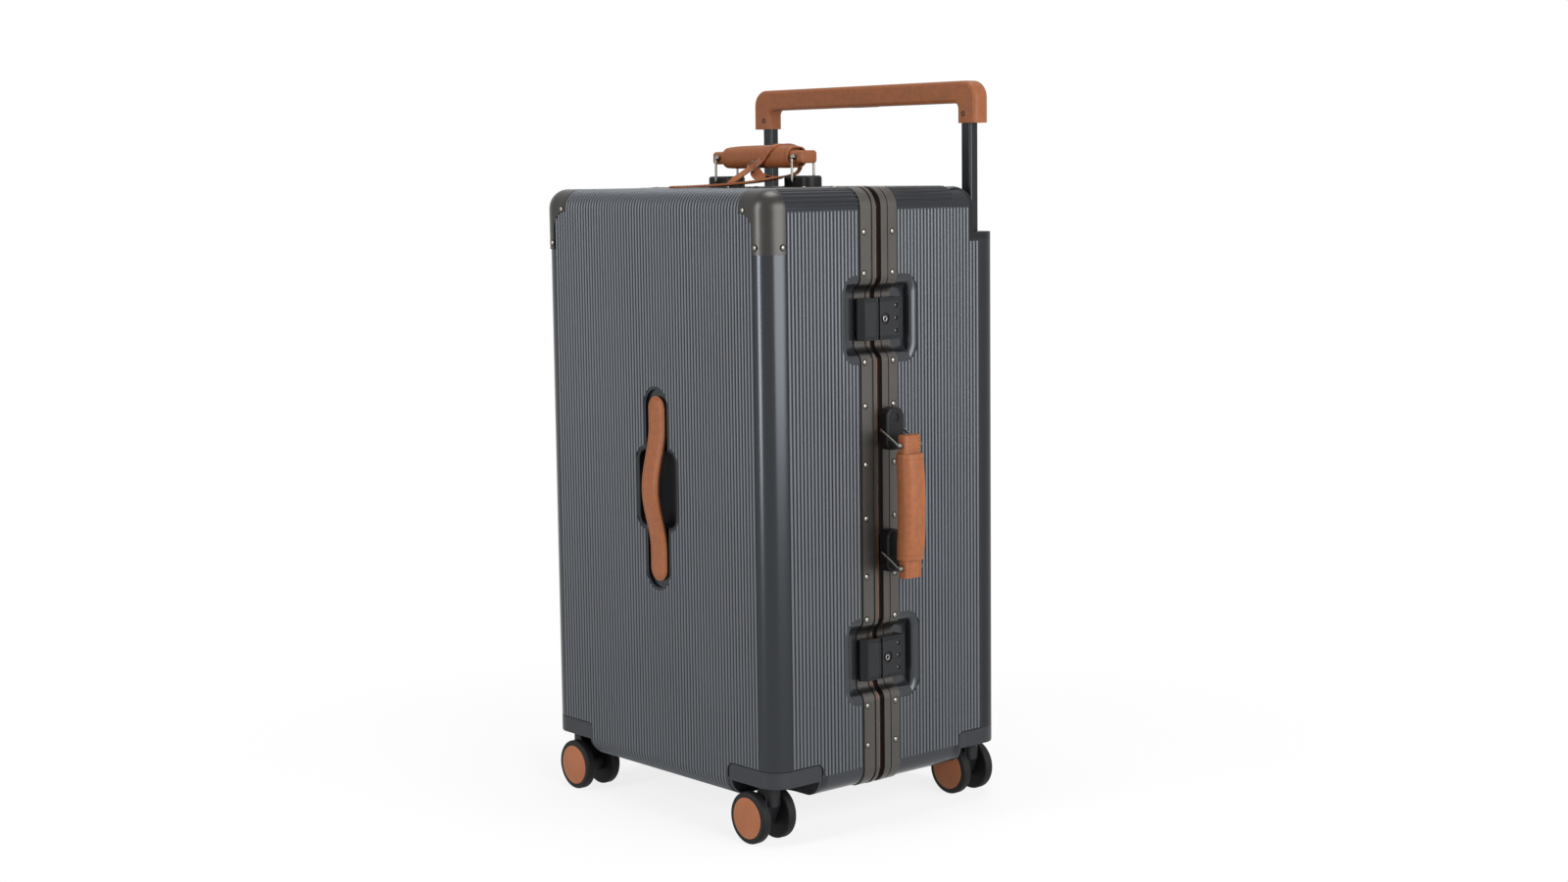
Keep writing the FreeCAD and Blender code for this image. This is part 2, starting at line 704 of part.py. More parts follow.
def rivet(base, outward):
    """A domed head of flat facets: two rings of them and a small crown."""
    aside = Vector(outward.y, outward.z, outward.x)
    across = outward.cross(aside)
    shoulder = (RIVET_RADIUS + RIVET_CROWN) / 2 + RIVET_CROWN / 4
    steps = ((RIVET_RADIUS, 0.0), (shoulder, RIVET_HEIGHT * 2 / 3), (RIVET_CROWN, RIVET_HEIGHT))
    rings = []
    for radius, height in steps:
        corners = []
        for index in range(RIVET_SIDES):
            turn = 2 * math.pi * index / RIVET_SIDES
            spoke = aside * math.cos(turn) + across * math.sin(turn)
            corners.append(base + outward * height + spoke * radius)
        rings.append(corners)
    faces = [facet(rings[0]), facet(rings[-1])]
    for lower, upper in zip(rings, rings[1:]):
        for index in range(RIVET_SIDES):
            after = (index + 1) % RIVET_SIDES
            faces.append(facet([lower[index], lower[after], upper[after], upper[index]]))
    return Part.Solid(Part.Shell(faces))


def facet(corners):
    return Part.Face(Part.makePolygon(corners + corners[:1]))


def frame_rivets(y, proud):
    pieces = []
    side_x = HALF_WIDTH + proud
    for height in SIDE_RIVETS:
        for z in (MID_Z - height, MID_Z + height):
            pieces.append(rivet(Vector(side_x, y, z), Vector(1, 0, 0)))
            if all(abs(z - MID_Z - offset) > HINGE_HALF + 2 * RIVET_RADIUS for offset in HINGE_OFFSETS):
                pieces.append(rivet(Vector(-side_x, y, z), Vector(-1, 0, 0)))
    for place in END_RIVETS:
        for x in (-place, place):
            pieces.append(rivet(Vector(x, y, SHELL_TOP + proud), Vector(0, 0, 1)))
            pieces.append(rivet(Vector(x, y, SHELL_BOTTOM - proud), Vector(0, 0, -1)))
    return pieces


def front_rivets():
    pieces = frame_rivets(LID_FRAME_FRONT + LID_RIVET_INSET, FLANGE_PROUD)
    face_y = -HALF_DEPTH - GUARD_THICK
    low = SHELL_TOP - GUARD_DROP + GUARD_RIVET_INSET
    reach = HALF_WIDTH - GUARD_WIDTH + GUARD_RIVET_INSET / 2
    far = HALF_WIDTH - GUARD_REACH + GUARD_RIVET_INSET
    side_y = -HALF_DEPTH + GUARD_WIDTH - GUARD_RIVET_INSET / 2
    for sign in (-1, 1):
        pieces.append(rivet(Vector(sign * reach, face_y, low), Vector(0, -1, 0)))
        pieces.append(rivet(Vector(sign * far, face_y, SHELL_TOP - EDGE_RADIUS), Vector(0, -1, 0)))
        pieces.append(rivet(Vector(sign * (HALF_WIDTH + GUARD_THICK), side_y, low), Vector(sign, 0, 0)))
    return Part.makeCompound(pieces)


def rear_rivets():
    return Part.makeCompound(frame_rivets(BAND_BACK + REAR_RIVET_INSET, FLANGE_PROUD))


def corner_guards():
    skin = case_body(GUARD_THICK).cut(case_body(0.0))
    guard = skin.common(guard_region(0.0))
    return Part.makeCompound([guard, flip_x(guard)])


def wheel_housings(side):
    """Corner caps with the caster wells, made at +X, -Y."""
    band = span(-FAR, FAR, -FAR, FAR, HOUSING_FLOOR, HOUSING_TOP)
    zone = housing_zone(0.0, HOUSING_TOP)
    skirt = case_body(0.0).cut(case_body(-HOUSING_WALL)).common(zone).common(band)
    ceiling = case_body(0.0).common(zone)
    ceiling = ceiling.common(span(-FAR, FAR, -FAR, FAR, HOUSING_FLOOR, HOUSING_FLOOR + HOUSING_WALL))
    walls = zone.cut(housing_zone(-HOUSING_END, FAR)).common(case_body(0.0))
    walls = walls.common(span(-FAR, FAR, -FAR, FAR, SHELL_BOTTOM, HOUSING_FLOOR + HOUSING_WALL))
    lip_out = case_body(-WALL - LINING_GAP / 2)
    lip = lip_out.cut(case_body(-WALL - HOUSING_WALL)).common(housing_zone(0.0, HOUSING_TOP + HOUSING_LIP))
    lip = lip.common(span(-FAR, FAR, -FAR, FAR, HOUSING_TOP - HOUSING_WALL, FAR))
    boss_base = Vector(STEM_X, -STEM_Y, HOUSING_FLOOR)
    boss = Part.makeCylinder(BOSS_RADIUS, HOUSING_TOP - HOUSING_FLOOR, boss_base)
    boss = boss.common(case_body(-HOUSING_WALL))
    bore_depth = STEM_END + CLEAR - HOUSING_FLOOR + 1
    bore = Part.makeCylinder(STEM_RADIUS + RUN, bore_depth, Vector(STEM_X, -STEM_Y, HOUSING_FLOOR - 1))
    if side > 0:
        lip = lip.cut(flip_y(rail_zone(LINING_GAP, FAR)))
    housing = ceiling.fuse([skirt, walls, lip, boss]).cut(bore)
    return Part.makeCompound(four_corners(housing, side))


def axle_x(x_side):
    return x_side * (STEM_X - CASTER_TRAIL)


def caster_fork(x_side, y_side):
    """Stem and arm between the two wheels, with the axle they turn on."""
    y = y_side * STEM_Y
    stem_low = WHEEL_RADIUS + HUB_RADIUS
    stem = Part.makeCylinder(STEM_RADIUS, STEM_END - stem_low, Vector(STEM_X, y, stem_low))
    hub_x = STEM_X - CASTER_TRAIL
    arm = Outline(STEM_X + FORK_LEAD, stem_low)
    arm.line(STEM_X + FORK_LEAD, FORK_TOP)
    arm.line(STEM_X - STEM_RADIUS, FORK_TOP)
    arm.arc(hub_x, WHEEL_RADIUS, HUB_RADIUS, 125, 300)
    arm_solid = arm.prism(on_xz(y - FORK_WIDTH / 2), Vector(0, FORK_WIDTH, 0))
    fork = arm_solid.fuse(stem)
    half = WHEEL_OFFSET + WHEEL_WIDTH / 2 - CAP_THICK - CLEAR
    start = Vector(hub_x, y - half, WHEEL_RADIUS)
    end = Vector(hub_x, y + half, WHEEL_RADIUS)
    fork = fork.cut(rod(AXLE_RADIUS, start, end))
    shape = Part.makeCompound([fork, rod(AXLE_RADIUS, start, end)])
    if x_side < 0:
        shape = flip_x(shape)
    return shape


def caster_wheel(x_side, y_side, along):
    """Tyre with its cap, on the side of the fork given by along (-1 or 1 in Y)."""
    x = axle_x(x_side)
    inner = WHEEL_OFFSET - WHEEL_WIDTH / 2
    outer = WHEEL_OFFSET + WHEEL_WIDTH / 2
    tread = Outline(AXLE_RADIUS + RUN, inner)
    tread.line(WHEEL_RADIUS - TREAD_ROUND, inner)
    tread.arc(WHEEL_RADIUS - TREAD_ROUND, inner + TREAD_ROUND, TREAD_ROUND, -90, 0)
    tread.arc(WHEEL_RADIUS - TREAD_ROUND, outer - TREAD_ROUND, TREAD_ROUND, 0, 90)
    tread.line(CAP_RADIUS, outer)
    tread.line(CAP_RADIUS, outer - CAP_THICK)
    tread.line(AXLE_RADIUS + RUN, outer - CAP_THICK)
    cap = Outline(0.0, outer - CAP_THICK)
    cap.line(CAP_RADIUS, outer - CAP_THICK)
    cap.line(CAP_RADIUS, outer)
    bulge = (CAP_RADIUS ** 2 + CAP_CROWN ** 2) / (2 * CAP_CROWN)
    edge_deg = math.degrees(math.acos(CAP_RADIUS / bulge))
    cap.arc(0.0, outer + CAP_CROWN - bulge, bulge, edge_deg, 90)
    centre = Vector(x, y_side * STEM_Y, WHEEL_RADIUS)
    solids = []
    for outline in (tread, cap):
        face = Part.Face(outline.wire(lambda u, v: centre + Vector(u, along * v, 0)))
        solids.append(face.revolve(centre, Vector(0, 1, 0), 360))
    return Part.makeCompound(solids)


def handle_tray():
    wall = notch_cut(0.0, 0.0).cut(notch_cut(TRAY_WALL, TRAY_FLOOR)).common(case_body(0.0))
    holes = []
    drop = Vector(0, 0, TRAY_FLOOR + 2)
    for sign in (-1, 1):
        holes.append(tube_outline(SLIDE_GAP, sign).prism(on_xy(TRAY_UNDER - 1), drop))
    return wall.cut(holes)


def tube_outline(margin, sign):
    half_width = TUBE_WIDTH / 2 + margin
    half_depth = TUBE_DEPTH / 2 + margin
    centre = sign * TUBE_X
    return rounded_rect(centre - half_width, centre + half_width, TUBE_Y - half_depth, TUBE_Y + half_depth,
                        TUBE_ROUND + margin)


def trolley_rails():
    height = Vector(0, 0, TRAY_UNDER - HOUSING_TOP)
    lift = span(-FAR, FAR, -FAR, FAR, HOUSING_TOP, FAR)
    rail = case_body(0.0).common(rail_zone(0.0, TRAY_UNDER)).common(lift)
    channel_end = TUBE_X + TUBE_WIDTH / 2 + SLIDE_GAP + RAIL_WALL
    channel_back = TUBE_Y + TUBE_DEPTH / 2 + SLIDE_GAP + RAIL_WALL
    beside = span(channel_end, FAR, RAIL_FRONT_Y + RAIL_WALL, FAR, -FAR, FAR)
    behind = span(RAIL_INNER_X + RAIL_WALL, FAR, channel_back, FAR, -FAR, FAR)
    hollow = case_body(-RAIL_WALL).common(beside.fuse(behind))
    rail = rail.cut([tube_outline(SLIDE_GAP, 1).prism(on_xy(HOUSING_TOP), height), hollow])
    return Part.makeCompound([rail, flip_x(rail)])


def trolley_tubes():
    top = GRIP_BOTTOM + TUBE_SOCKET
    tubes = []
    for sign in (-1, 1):
        solid = tube_outline(0.0, sign).prism(on_xy(TUBE_BOTTOM), Vector(0, 0, top - TUBE_BOTTOM))
        bore = tube_outline(-TUBE_WALL, sign).prism(on_xy(TUBE_BOTTOM - 1), Vector(0, 0, FAR))
        tubes.append(solid.cut(bore))
    return Part.makeCompound(tubes)


def trolley_grip():
    inner = GRIP_HALF - GRIP_LEG
    under = GRIP_TOP - GRIP_BAR
    outline = Outline(-GRIP_HALF, GRIP_BOTTOM)
    outline.line(-inner, GRIP_BOTTOM)
    outline.arc(-inner + GRIP_INNER_ROUND, under - GRIP_INNER_ROUND, GRIP_INNER_ROUND, 180, 90)
    outline.arc(inner - GRIP_INNER_ROUND, under - GRIP_INNER_ROUND, GRIP_INNER_ROUND, 90, 0)
    outline.line(inner, GRIP_BOTTOM)
    outline.line(GRIP_HALF, GRIP_BOTTOM)
    outline.arc(GRIP_HALF - GRIP_OUTER_ROUND, GRIP_TOP - GRIP_OUTER_ROUND, GRIP_OUTER_ROUND, 0, 90)
    outline.arc(-GRIP_HALF + GRIP_OUTER_ROUND, GRIP_TOP - GRIP_OUTER_ROUND, GRIP_OUTER_ROUND, 90, 180)
    front = TUBE_Y - GRIP_DEPTH / 2
    bar = outline.prism(on_xz(front), Vector(0, GRIP_DEPTH, 0))
    rims = []
    for edge in bar.Edges:
        if edge.BoundBox.YLength < TINY and edge.BoundBox.ZMax > GRIP_BOTTOM + 1:
            rims.append(edge)
    bar = bar.makeFillet(GRIP_EDGE, rims)
    cuts = []
    for sign in (-1, 1):
        cuts.append(tube_outline(0.0, sign).prism(on_xy(GRIP_BOTTOM - 1), Vector(0, 0, TUBE_SOCKET + 1)))
    cuts.append(button_block(CLEAR, BUTTON_HEIGHT - BUTTON_SHOW + BUTTON_TRAVEL + CLEAR))
    return bar.cut(cuts)


def button_block(margin, rise):
    half_length = BUTTON_LENGTH / 2 + margin
    half_width = BUTTON_WIDTH / 2 + margin
    base = GRIP_TOP - GRIP_BAR - BUTTON_SHOW
    outline = rounded_rect(-half_length, half_length, TUBE_Y - half_width, TUBE_Y + half_width, half_width)
    return outline.prism(on_xy(base), Vector(0, 0, BUTTON_SHOW + rise))


def release_button():
    return button_block(0.0, BUTTON_HEIGHT - BUTTON_SHOW)


# Carrying handles are made lying along X at the origin of their pivots, with +Z away from the case.
def handle_mount(sign):
    x = sign * MOUNT_PITCH / 2
    half = MOUNT_LENGTH / 2
    side = MOUNT_WIDTH / 2
    outline = rounded_rect(x - half, x + half, -side, side, side - MOUNT_EDGE)
    block = outline.prism(on_xy(-MOUNT_PIVOT), Vector(0, 0, MOUNT_THICK))
    top = MOUNT_THICK - MOUNT_PIVOT
    rims = [edge for edge in block.Edges if edge.BoundBox.ZMin > top - TINY]
    block = block.makeFillet(MOUNT_EDGE, rims)
    screw = Part.makeCylinder(MOUNT_SCREW, MOUNT_EDGE, Vector(x + sign * MOUNT_SCREW_OUT, 0, top - 1))
    seat = MOUNT_WIDTH / 2 - WIRE_SEAT - CLEAR
    cuts = [screw]
    for side in (-1, 1):
        cuts.append(rod(WIRE_RADIUS + RUN, Vector(x, side * seat, 0), Vector(x, side * MOUNT_WIDTH, 0)))
    return block.cut(cuts)


def bent_wire(points, bend, radius):
    """A round wire along straight runs joined by tangent arcs."""
    edges = []
    here = points[0]
    for before, corner, after in zip(points, points[1:], points[2:]):
        back = (before - corner).normalize()
        ahead = (after - corner).normalize()
        half_turn = (math.pi - back.getAngle(ahead)) / 2
        reach = bend * math.tan(half_turn)
        start = corner + back * reach
        end = corner + ahead * reach
        bisector = (back + ahead).normalize()
        middle = corner + bisector * (bend / math.cos(half_turn) - bend)
        edges.append(Part.LineSegment(here, start).toShape())
        edges.append(Part.Arc(start, middle, end).toShape())
        here = end
    edges.append(Part.LineSegment(here, points[-1]).toShape())
    section = Part.Wire(Part.makeCircle(radius, points[0], points[1] - points[0]))
    return Part.Wire(edges).makePipeShell([section], True, False)


def handle_bail(sign, link):
    """A wire bail from the mount's sides up to a bar through the grip's end."""
    x = sign * MOUNT_PITCH / 2
    seat = MOUNT_WIDTH / 2 - WIRE_SEAT
    points = [Vector(x, -seat, 0), Vector(x, -BAIL_HALF, 0), Vector(x, -BAIL_HALF, link)]
    points += [Vector(x, BAIL_HALF, link), Vector(x, BAIL_HALF, 0), Vector(x, seat, 0)]
    return bent_wire(points, WIRE_BEND, WIRE_RADIUS)


def handle_grip(link):
    """Grip core with its end blocks and the padded sleeve round it."""
    half = HANDLE_LENGTH / 2
    section = centred_rect(HANDLE_WIDTH, HANDLE_THICK, HANDLE_ROUND)
    core = section.prism(lambda u, v: Vector(-half, u, link + v), Vector(HANDLE_LENGTH, 0, 0))
    rims = [edge for edge in core.Edges if edge.BoundBox.XLength < TINY]
    core = core.makeFillet(HANDLE_ROUND / 2, rims)
    pads = centred_rect(SLEEVE_WIDTH, SLEEVE_THICK, SLEEVE_ROUND)
    sleeve = pads.prism(lambda u, v: Vector(-SLEEVE_LENGTH / 2, u, link + v), Vector(SLEEVE_LENGTH, 0, 0))
    ends = [edge for edge in sleeve.Edges if edge.BoundBox.XLength < TINY]
    sleeve = sleeve.makeFillet(HANDLE_ROUND / 2, ends).cut(core)
    holes = []
    for sign, gap in ((-1, RUN), (1, OPEN_PIVOT)):
        x = sign * MOUNT_PITCH / 2
        holes.append(rod(WIRE_RADIUS + gap, Vector(x, -BAIL_HALF, link), Vector(x, BAIL_HALF, link)))
    return Part.makeCompound([core.cut(holes), sleeve])


def on_top(shape):
    return moved(shape, 0.0, HANDLE_Y, SHELL_TOP + BAND_PROUD + MOUNT_PIVOT)


def on_side(shape):
    upright = turned(shape, Vector(0, 0, 0), Vector(0, 1, 0), 90)
    return moved(upright, HALF_WIDTH + BAND_PROUD + MOUNT_PIVOT, HANDLE_Y, MID_Z)


def side_pivot(sign):
    """Pivot of a side bail before the handle is moved to the case: its x along the grip."""
    return Vector(sign * MOUNT_PITCH / 2, 0, 0)


def dropped(shape, sign):
    """A side bail swung down to where it hangs."""
    return turned(shape, side_pivot(sign), Vector(0, 1, 0), SIDE_DROP_DEG)


def side_grip():
    drop = math.radians(SIDE_DROP_DEG)
    grip = handle_grip(SIDE_LINK)
    return on_side(moved(grip, SIDE_LINK * math.sin(drop), 0.0, SIDE_LINK * (math.cos(drop) - 1)))


def luggage_tag():
    """Leather plate that lies on the lid's top, turned and a little tilted."""
    half_length = TAG_LENGTH / 2
    half_width = TAG_WIDTH / 2
    plate = rounded_rect(-half_length, half_length, -half_width, half_width, TAG_CORNER)
    solid = plate.prism(on_xy(0.0), Vector(0, 0, TAG_THICK))
    solid = turned(solid, Vector(0, 0, 0), Vector(0, 1, 0), -TAG_TILT_DEG)
    solid = turned(solid, Vector(0, 0, 0), Vector(0, 0, 1), TAG_TURN_DEG)
    return moved(solid, TAG_X, TAG_Y, SHELL_TOP + TAG_LIFT)


def tag_strap():
    """Narrow strap looped round the top sleeve, with its tail down to the tag."""
    grip_z = SHELL_TOP + BAND_PROUD + MOUNT_PIVOT + TOP_LINK
    side = SLEEVE_WIDTH / 2 + TAG_LOOP_SIDE
    high = grip_z + SLEEVE_THICK / 2 + CLEAR
    low = grip_z - SLEEVE_THICK / 2 - TAG_LOOP_SLACK
    inner = rounded_rect(HANDLE_Y - side, HANDLE_Y + side, low, high, TAG_LOOP_ROUND)
    t = TAG_STRAP_THICK
    outer = rounded_rect(HANDLE_Y - side - t, HANDLE_Y + side + t, low - t, high + t, TAG_LOOP_ROUND + t)
    place = on_yz(TAG_LOOP_X - TAG_STRAP_WIDTH / 2)
    across = Vector(TAG_STRAP_WIDTH, 0, 0)
    loop = outer.prism(place, across).cut(inner.prism(place, across))
    foot_y = TAG_Y + TAG_WIDTH / 4
    foot_z = SHELL_TOP + TAG_LIFT + TAG_THICK + TAG_TAIL_LIFT
    tail = Outline(HANDLE_Y - side - t, grip_z)
    tail.line(HANDLE_Y - side, grip_z)
    tail.line(HANDLE_Y - side, grip_z - t)
    tail.line(foot_y, foot_z)
    tail.line(foot_y, foot_z + t)
    return loop.fuse(tail.prism(place, across))


def strap_handle():
    """Leather strap that bows out over the finger cup, its ends flat in the pocket."""
    seat_y = -HALF_DEPTH + POCKET_DEPTH - CLEAR
    half = STRAP_LENGTH / 2
    flat = half - STRAP_END_FLAT
    rise = POCKET_DEPTH + STRAP_BOW - STRAP_THICK
    bend = math.atan2(rise, flat) * 2
    radius = flat / 2 / math.sin(bend)
    bend_deg = math.degrees(bend)
    t = STRAP_THICK
    # u runs up the strap, v outwards from the pocket's floor
    outline = Outline(-half, 0.0)
    outline.arc(-flat, radius, radius, 270, 270 + bend_deg)
    outline.arc(0.0, rise - radius, radius, 90 + bend_deg, 90 - bend_deg)
    outline.arc(flat, radius, radius, 270 - bend_deg, 270)
    outline.line(half, 0.0)
    outline.line(half, t)
    outline.arc(flat, radius, radius - t, 270, 270 - bend_deg)
    outline.arc(0.0, rise - radius, radius + t, 90 - bend_deg, 90 + bend_deg)
    outline.arc(-flat, radius, radius - t, 270 + bend_deg, 270)
    outline.line(-half, t)
    low_x = STRAP_X - STRAP_WIDTH / 2
    ribbon = outline.prism(lambda u, v: Vector(low_x, seat_y - v, STRAP_Z + u), Vector(STRAP_WIDTH, 0, 0))
    plan = rounded_rect(low_x, low_x + STRAP_WIDTH, STRAP_Z - half, STRAP_Z + half, STRAP_WIDTH / 2)
    return ribbon.common(plan.prism(on_xz(-FAR), Vector(0, 2 * FAR, 0)))


def strap_cup():
    """Black finger cup let into the front panel behind the strap."""
    front = -HALF_DEPTH
    tub = cup_outline(-CLEAR).prism(on_xz(front), Vector(0, CUP_DEPTH, 0))
    hollow = cup_outline(-CLEAR - CUP_WALL).prism(on_xz(front - 1), Vector(0, CUP_DEPTH - CUP_WALL + 1, 0))
    flange_y = front + POCKET_DEPTH + WALL
    flange = cup_outline(CUP_FLANGE).prism(on_xz(flange_y), Vector(0, CUP_WALL, 0))
    strap_room = pocket_outline(0.0).prism(on_xz(front - 1), Vector(0, 1 + POCKET_DEPTH, 0))
    return tub.fuse(flange).cut([hollow, strap_room])


def lock_base(height):
    """Lock body on the rear frame: ears for the latch, dial slots and pin, key bore."""
    base_x = BAY_FLOOR_X + BAND_PROUD
    face_x = HALF_WIDTH + LOCK_FACE
    low = height - LOCK_HALF
    high = height + LOCK_HALF
    body = span(base_x, face_x, LOCK_WALL_Y, LOCK_BACK, low, high)
    back = [edge for edge in edges_along(body, Vector(1, 0, 0)) if edge.BoundBox.YMin > LOCK_BACK - 1]
    body = body.makeFillet(LOCK_ROUND, back)
    axis_x = face_x - LATCH_BARREL
    ears = []
    for start in (low, high - EAR_WIDTH):
        ear = Outline(LOCK_WALL_Y + LOCK_ROUND, face_x)
        ear.arc(LATCH_AXIS_Y, axis_x, LATCH_BARREL, 90, 270)
        ear.line(LOCK_WALL_Y + LOCK_ROUND, axis_x - LATCH_BARREL)
        ears.append(ear.prism(lambda u, v, z=start: Vector(v, u, z), Vector(0, 0, EAR_WIDTH)))
    body = body.fuse(ears)
    dial_y = LOCK_BACK + DIAL_SHOW - DIAL_RADIUS
    dial_x = face_x - DIAL_RADIUS - DIAL_COVER
    cuts = []
    for step in (-1, 0, 1):
        z = height + step * DIAL_PITCH
        slot_base = Vector(dial_x, dial_y, z - DIAL_THICK / 2 - CLEAR)
        cuts.append(Part.makeCylinder(DIAL_RADIUS + CLEAR, DIAL_THICK + 2 * CLEAR, slot_base))
        cuts.append(rod(DIAL_WINDOW, Vector(face_x - LOCK_ROUND / 2, DIAL_WINDOW_Y, z),
                        Vector(face_x + 1, DIAL_WINDOW_Y, z)))
    key_end = Vector(face_x - KEY_DEPTH - CLEAR, KEY_Y, height)
    cuts.append(rod(KEY_RADIUS + RUN, key_end, Vector(face_x + 1, KEY_Y, height)))
    cuts.append(rod(KEY_RECESS, Vector(face_x - 1, KEY_Y, height), Vector(face_x + 1, KEY_Y, height)))
    pin_ends = (low + LOCK_ROUND, high - LOCK_ROUND)
    dial_pin = rod(DIAL_PIN, Vector(dial_x, dial_y, pin_ends[0]), Vector(dial_x, dial_y, pin_ends[1]))
    latch_pin = rod(LATCH_PIN, Vector(axis_x, LATCH_AXIS_Y, low), Vector(axis_x, LATCH_AXIS_Y, high))
    body = body.cut(cuts + [dial_pin, latch_pin])
    return Part.makeCompound([body, dial_pin, latch_pin])


def latch_lever(height):
    face_x = HALF_WIDTH + LOCK_FACE
    axis_x = face_x - LATCH_BARREL
    under_x = BAY_FLOOR_X + FLANGE_PROUD + STRIKE_THICK + CLEAR
    low = height - LOCK_HALF
    high = height + LOCK_HALF
    ear_clear = LATCH_AXIS_Y - LATCH_BARREL - CLEAR
    plate = Outline(ear_clear, face_x)
    plate.line(LOCK_FRONT + LOCK_CHAMFER, face_x)
    plate.line(LOCK_FRONT, face_x - LOCK_CHAMFER)
    plate.line(LOCK_FRONT, under_x)
    plate.line(ear_clear, under_x)
    solid = plate.prism(lambda u, v: Vector(v, u, low), Vector(0, 0, high - low))
    barrel = Outline(ear_clear - 1, face_x)
    barrel.line(ear_clear - 1, axis_x - LATCH_BARREL)
    barrel.arc(LATCH_AXIS_Y, axis_x, LATCH_BARREL, 270, 450)
    room = EAR_WIDTH + CLEAR
    tongue = barrel.prism(lambda u, v: Vector(v, u, low + room), Vector(0, 0, high - low - 2 * room))
    axis = rod(LATCH_PIN + RUN, Vector(axis_x, LATCH_AXIS_Y, low), Vector(axis_x, LATCH_AXIS_Y, high))
    return solid.fuse(tongue).cut(axis)


def lock_dial(height, step):
    """Scalloped number wheel on the lock's dial pin."""
    dial_y = LOCK_BACK + DIAL_SHOW - DIAL_RADIUS
    dial_x = HALF_WIDTH + LOCK_FACE - DIAL_RADIUS - DIAL_COVER
    z = height + step * DIAL_PITCH - DIAL_THICK / 2
    wheel = Part.makeCylinder(DIAL_RADIUS, DIAL_THICK, Vector(dial_x, dial_y, z))
    cuts = [Part.makeCylinder(DIAL_PIN + RUN, DIAL_THICK + 2, Vector(dial_x, dial_y, z - 1))]
    for index in range(DIAL_TEETH):
        turn = 2 * math.pi * index / DIAL_TEETH
        out = DIAL_RADIUS + DIAL_SHOW / 2
        centre = Vector(dial_x + out * math.cos(turn), dial_y + out * math.sin(turn), z - 1)
        cuts.append(Part.makeCylinder(DIAL_SHOW, DIAL_THICK + 2, centre))
    return wheel.cut(cuts)


def key_cylinder(height):
    face_x = HALF_WIDTH + LOCK_FACE
    plug = rod(KEY_RADIUS, Vector(face_x - KEY_DEPTH, KEY_Y, height), Vector(face_x, KEY_Y, height))
    half = KEY_SLOT / 2
    reach = KEY_RADIUS - KEY_SLOT
    slot_x = face_x - KEY_DEPTH / 2
    slot = span(slot_x, face_x + 1, KEY_Y - half, KEY_Y + half, height - reach, height + reach)
    return plug.cut(slot)


def lock_strikes():
    base_x = BAY_FLOOR_X + FLANGE_PROUD
    plates = []
    for height in LOCK_HEIGHTS:
        start_y = LID_FRAME_FRONT + 1
        plate = span(base_x, base_x + STRIKE_THICK, start_y, start_y + STRIKE_LENGTH, height - STRIKE_HALF,
                     height + STRIKE_HALF)
        plates.append(softened(plate, Vector(1, 0, 0), LOCK_ROUND))
    return Part.makeCompound(plates)


def hinge_axis():
    """X and Y of the hinge line, outside the frame in the middle of its gap."""
    x = -(HALF_WIDTH + BEAD_PROUD + HINGE_LEAF + HINGE_BARREL - STEP_PROUD)
    return x, SEAL_BACK + FRAME_GAP / 2


def hinge_leaf(side):
    """One leaf of each hinge: side -1 on the lid, side 1 on the rear half."""
    axis_x, axis_y = hinge_axis()
    base_x = -(HALF_WIDTH + (BEAD_PROUD if side < 0 else BAND_PROUD))
    far_y = axis_y + side * HINGE_LEAF_REACH
    clear_y = axis_y + side * (HINGE_BARREL + CLEAR)
    leaves = []
    for offset in HINGE_OFFSETS:
        z = MID_Z + offset
        y_pair = sorted((far_y, clear_y))
        leaf = span(base_x - HINGE_LEAF, base_x, y_pair[0], y_pair[1], z - HINGE_HALF, z + HINGE_HALF)
        if side < 0:
            spans = [(z - HINGE_SPLIT + CLEAR, z + HINGE_SPLIT - CLEAR)]
        else:
            spans = [(z - HINGE_HALF, z - HINGE_SPLIT), (z + HINGE_SPLIT, z + HINGE_HALF)]
        for low, high in spans:
            barrel = Part.makeCylinder(HINGE_BARREL, high - low, Vector(axis_x, axis_y, low))
            web_pair = sorted((axis_y, far_y))
            web = span(base_x - HINGE_LEAF, base_x, web_pair[0], web_pair[1], low, high)
            leaf = leaf.fuse([barrel, web])
        gap = RUN if side < 0 else 0.0
        low_end = Vector(axis_x, axis_y, z - HINGE_HALF)
        high_end = Vector(axis_x, axis_y, z + HINGE_HALF)
        past = Vector(0, 0, 1)
        leaves.append(leaf.cut(rod(HINGE_PIN + gap, low_end - past, high_end + past)))
        if side > 0:
            leaves.append(rod(HINGE_PIN, low_end, high_end))
    return Part.makeCompound(leaves)


def side_feet(y):
    feet = []
    for sign in (-1, 1):
        base = Vector(-HALF_WIDTH - RIB_LIFT - RIB_HEIGHT, y, MID_Z + sign * FOOT_FROM_MID)
        height = FOOT_HEIGHT - RIB_LIFT - RIB_HEIGHT
        feet.append(Part.makeCone(FOOT_RADIUS, FOOT_RADIUS - FOOT_TAPER, height, base, Vector(-1, 0, 0)))
    return Part.makeCompound(feet)


def lining(y0, y1, zones):
    """Cloth lining inside a half, stepping round whatever stands into the room."""
    half_space = span(-FAR, FAR, y0, y1, -FAR, FAR)
    skin = case_body(-WALL - LINING_GAP).common(half_space).cut(zones(LINING_GAP))
    return skin.cut(case_body(-WALL - LINING_GAP - LINING).cut(zones(LINING_GAP + LINING)))


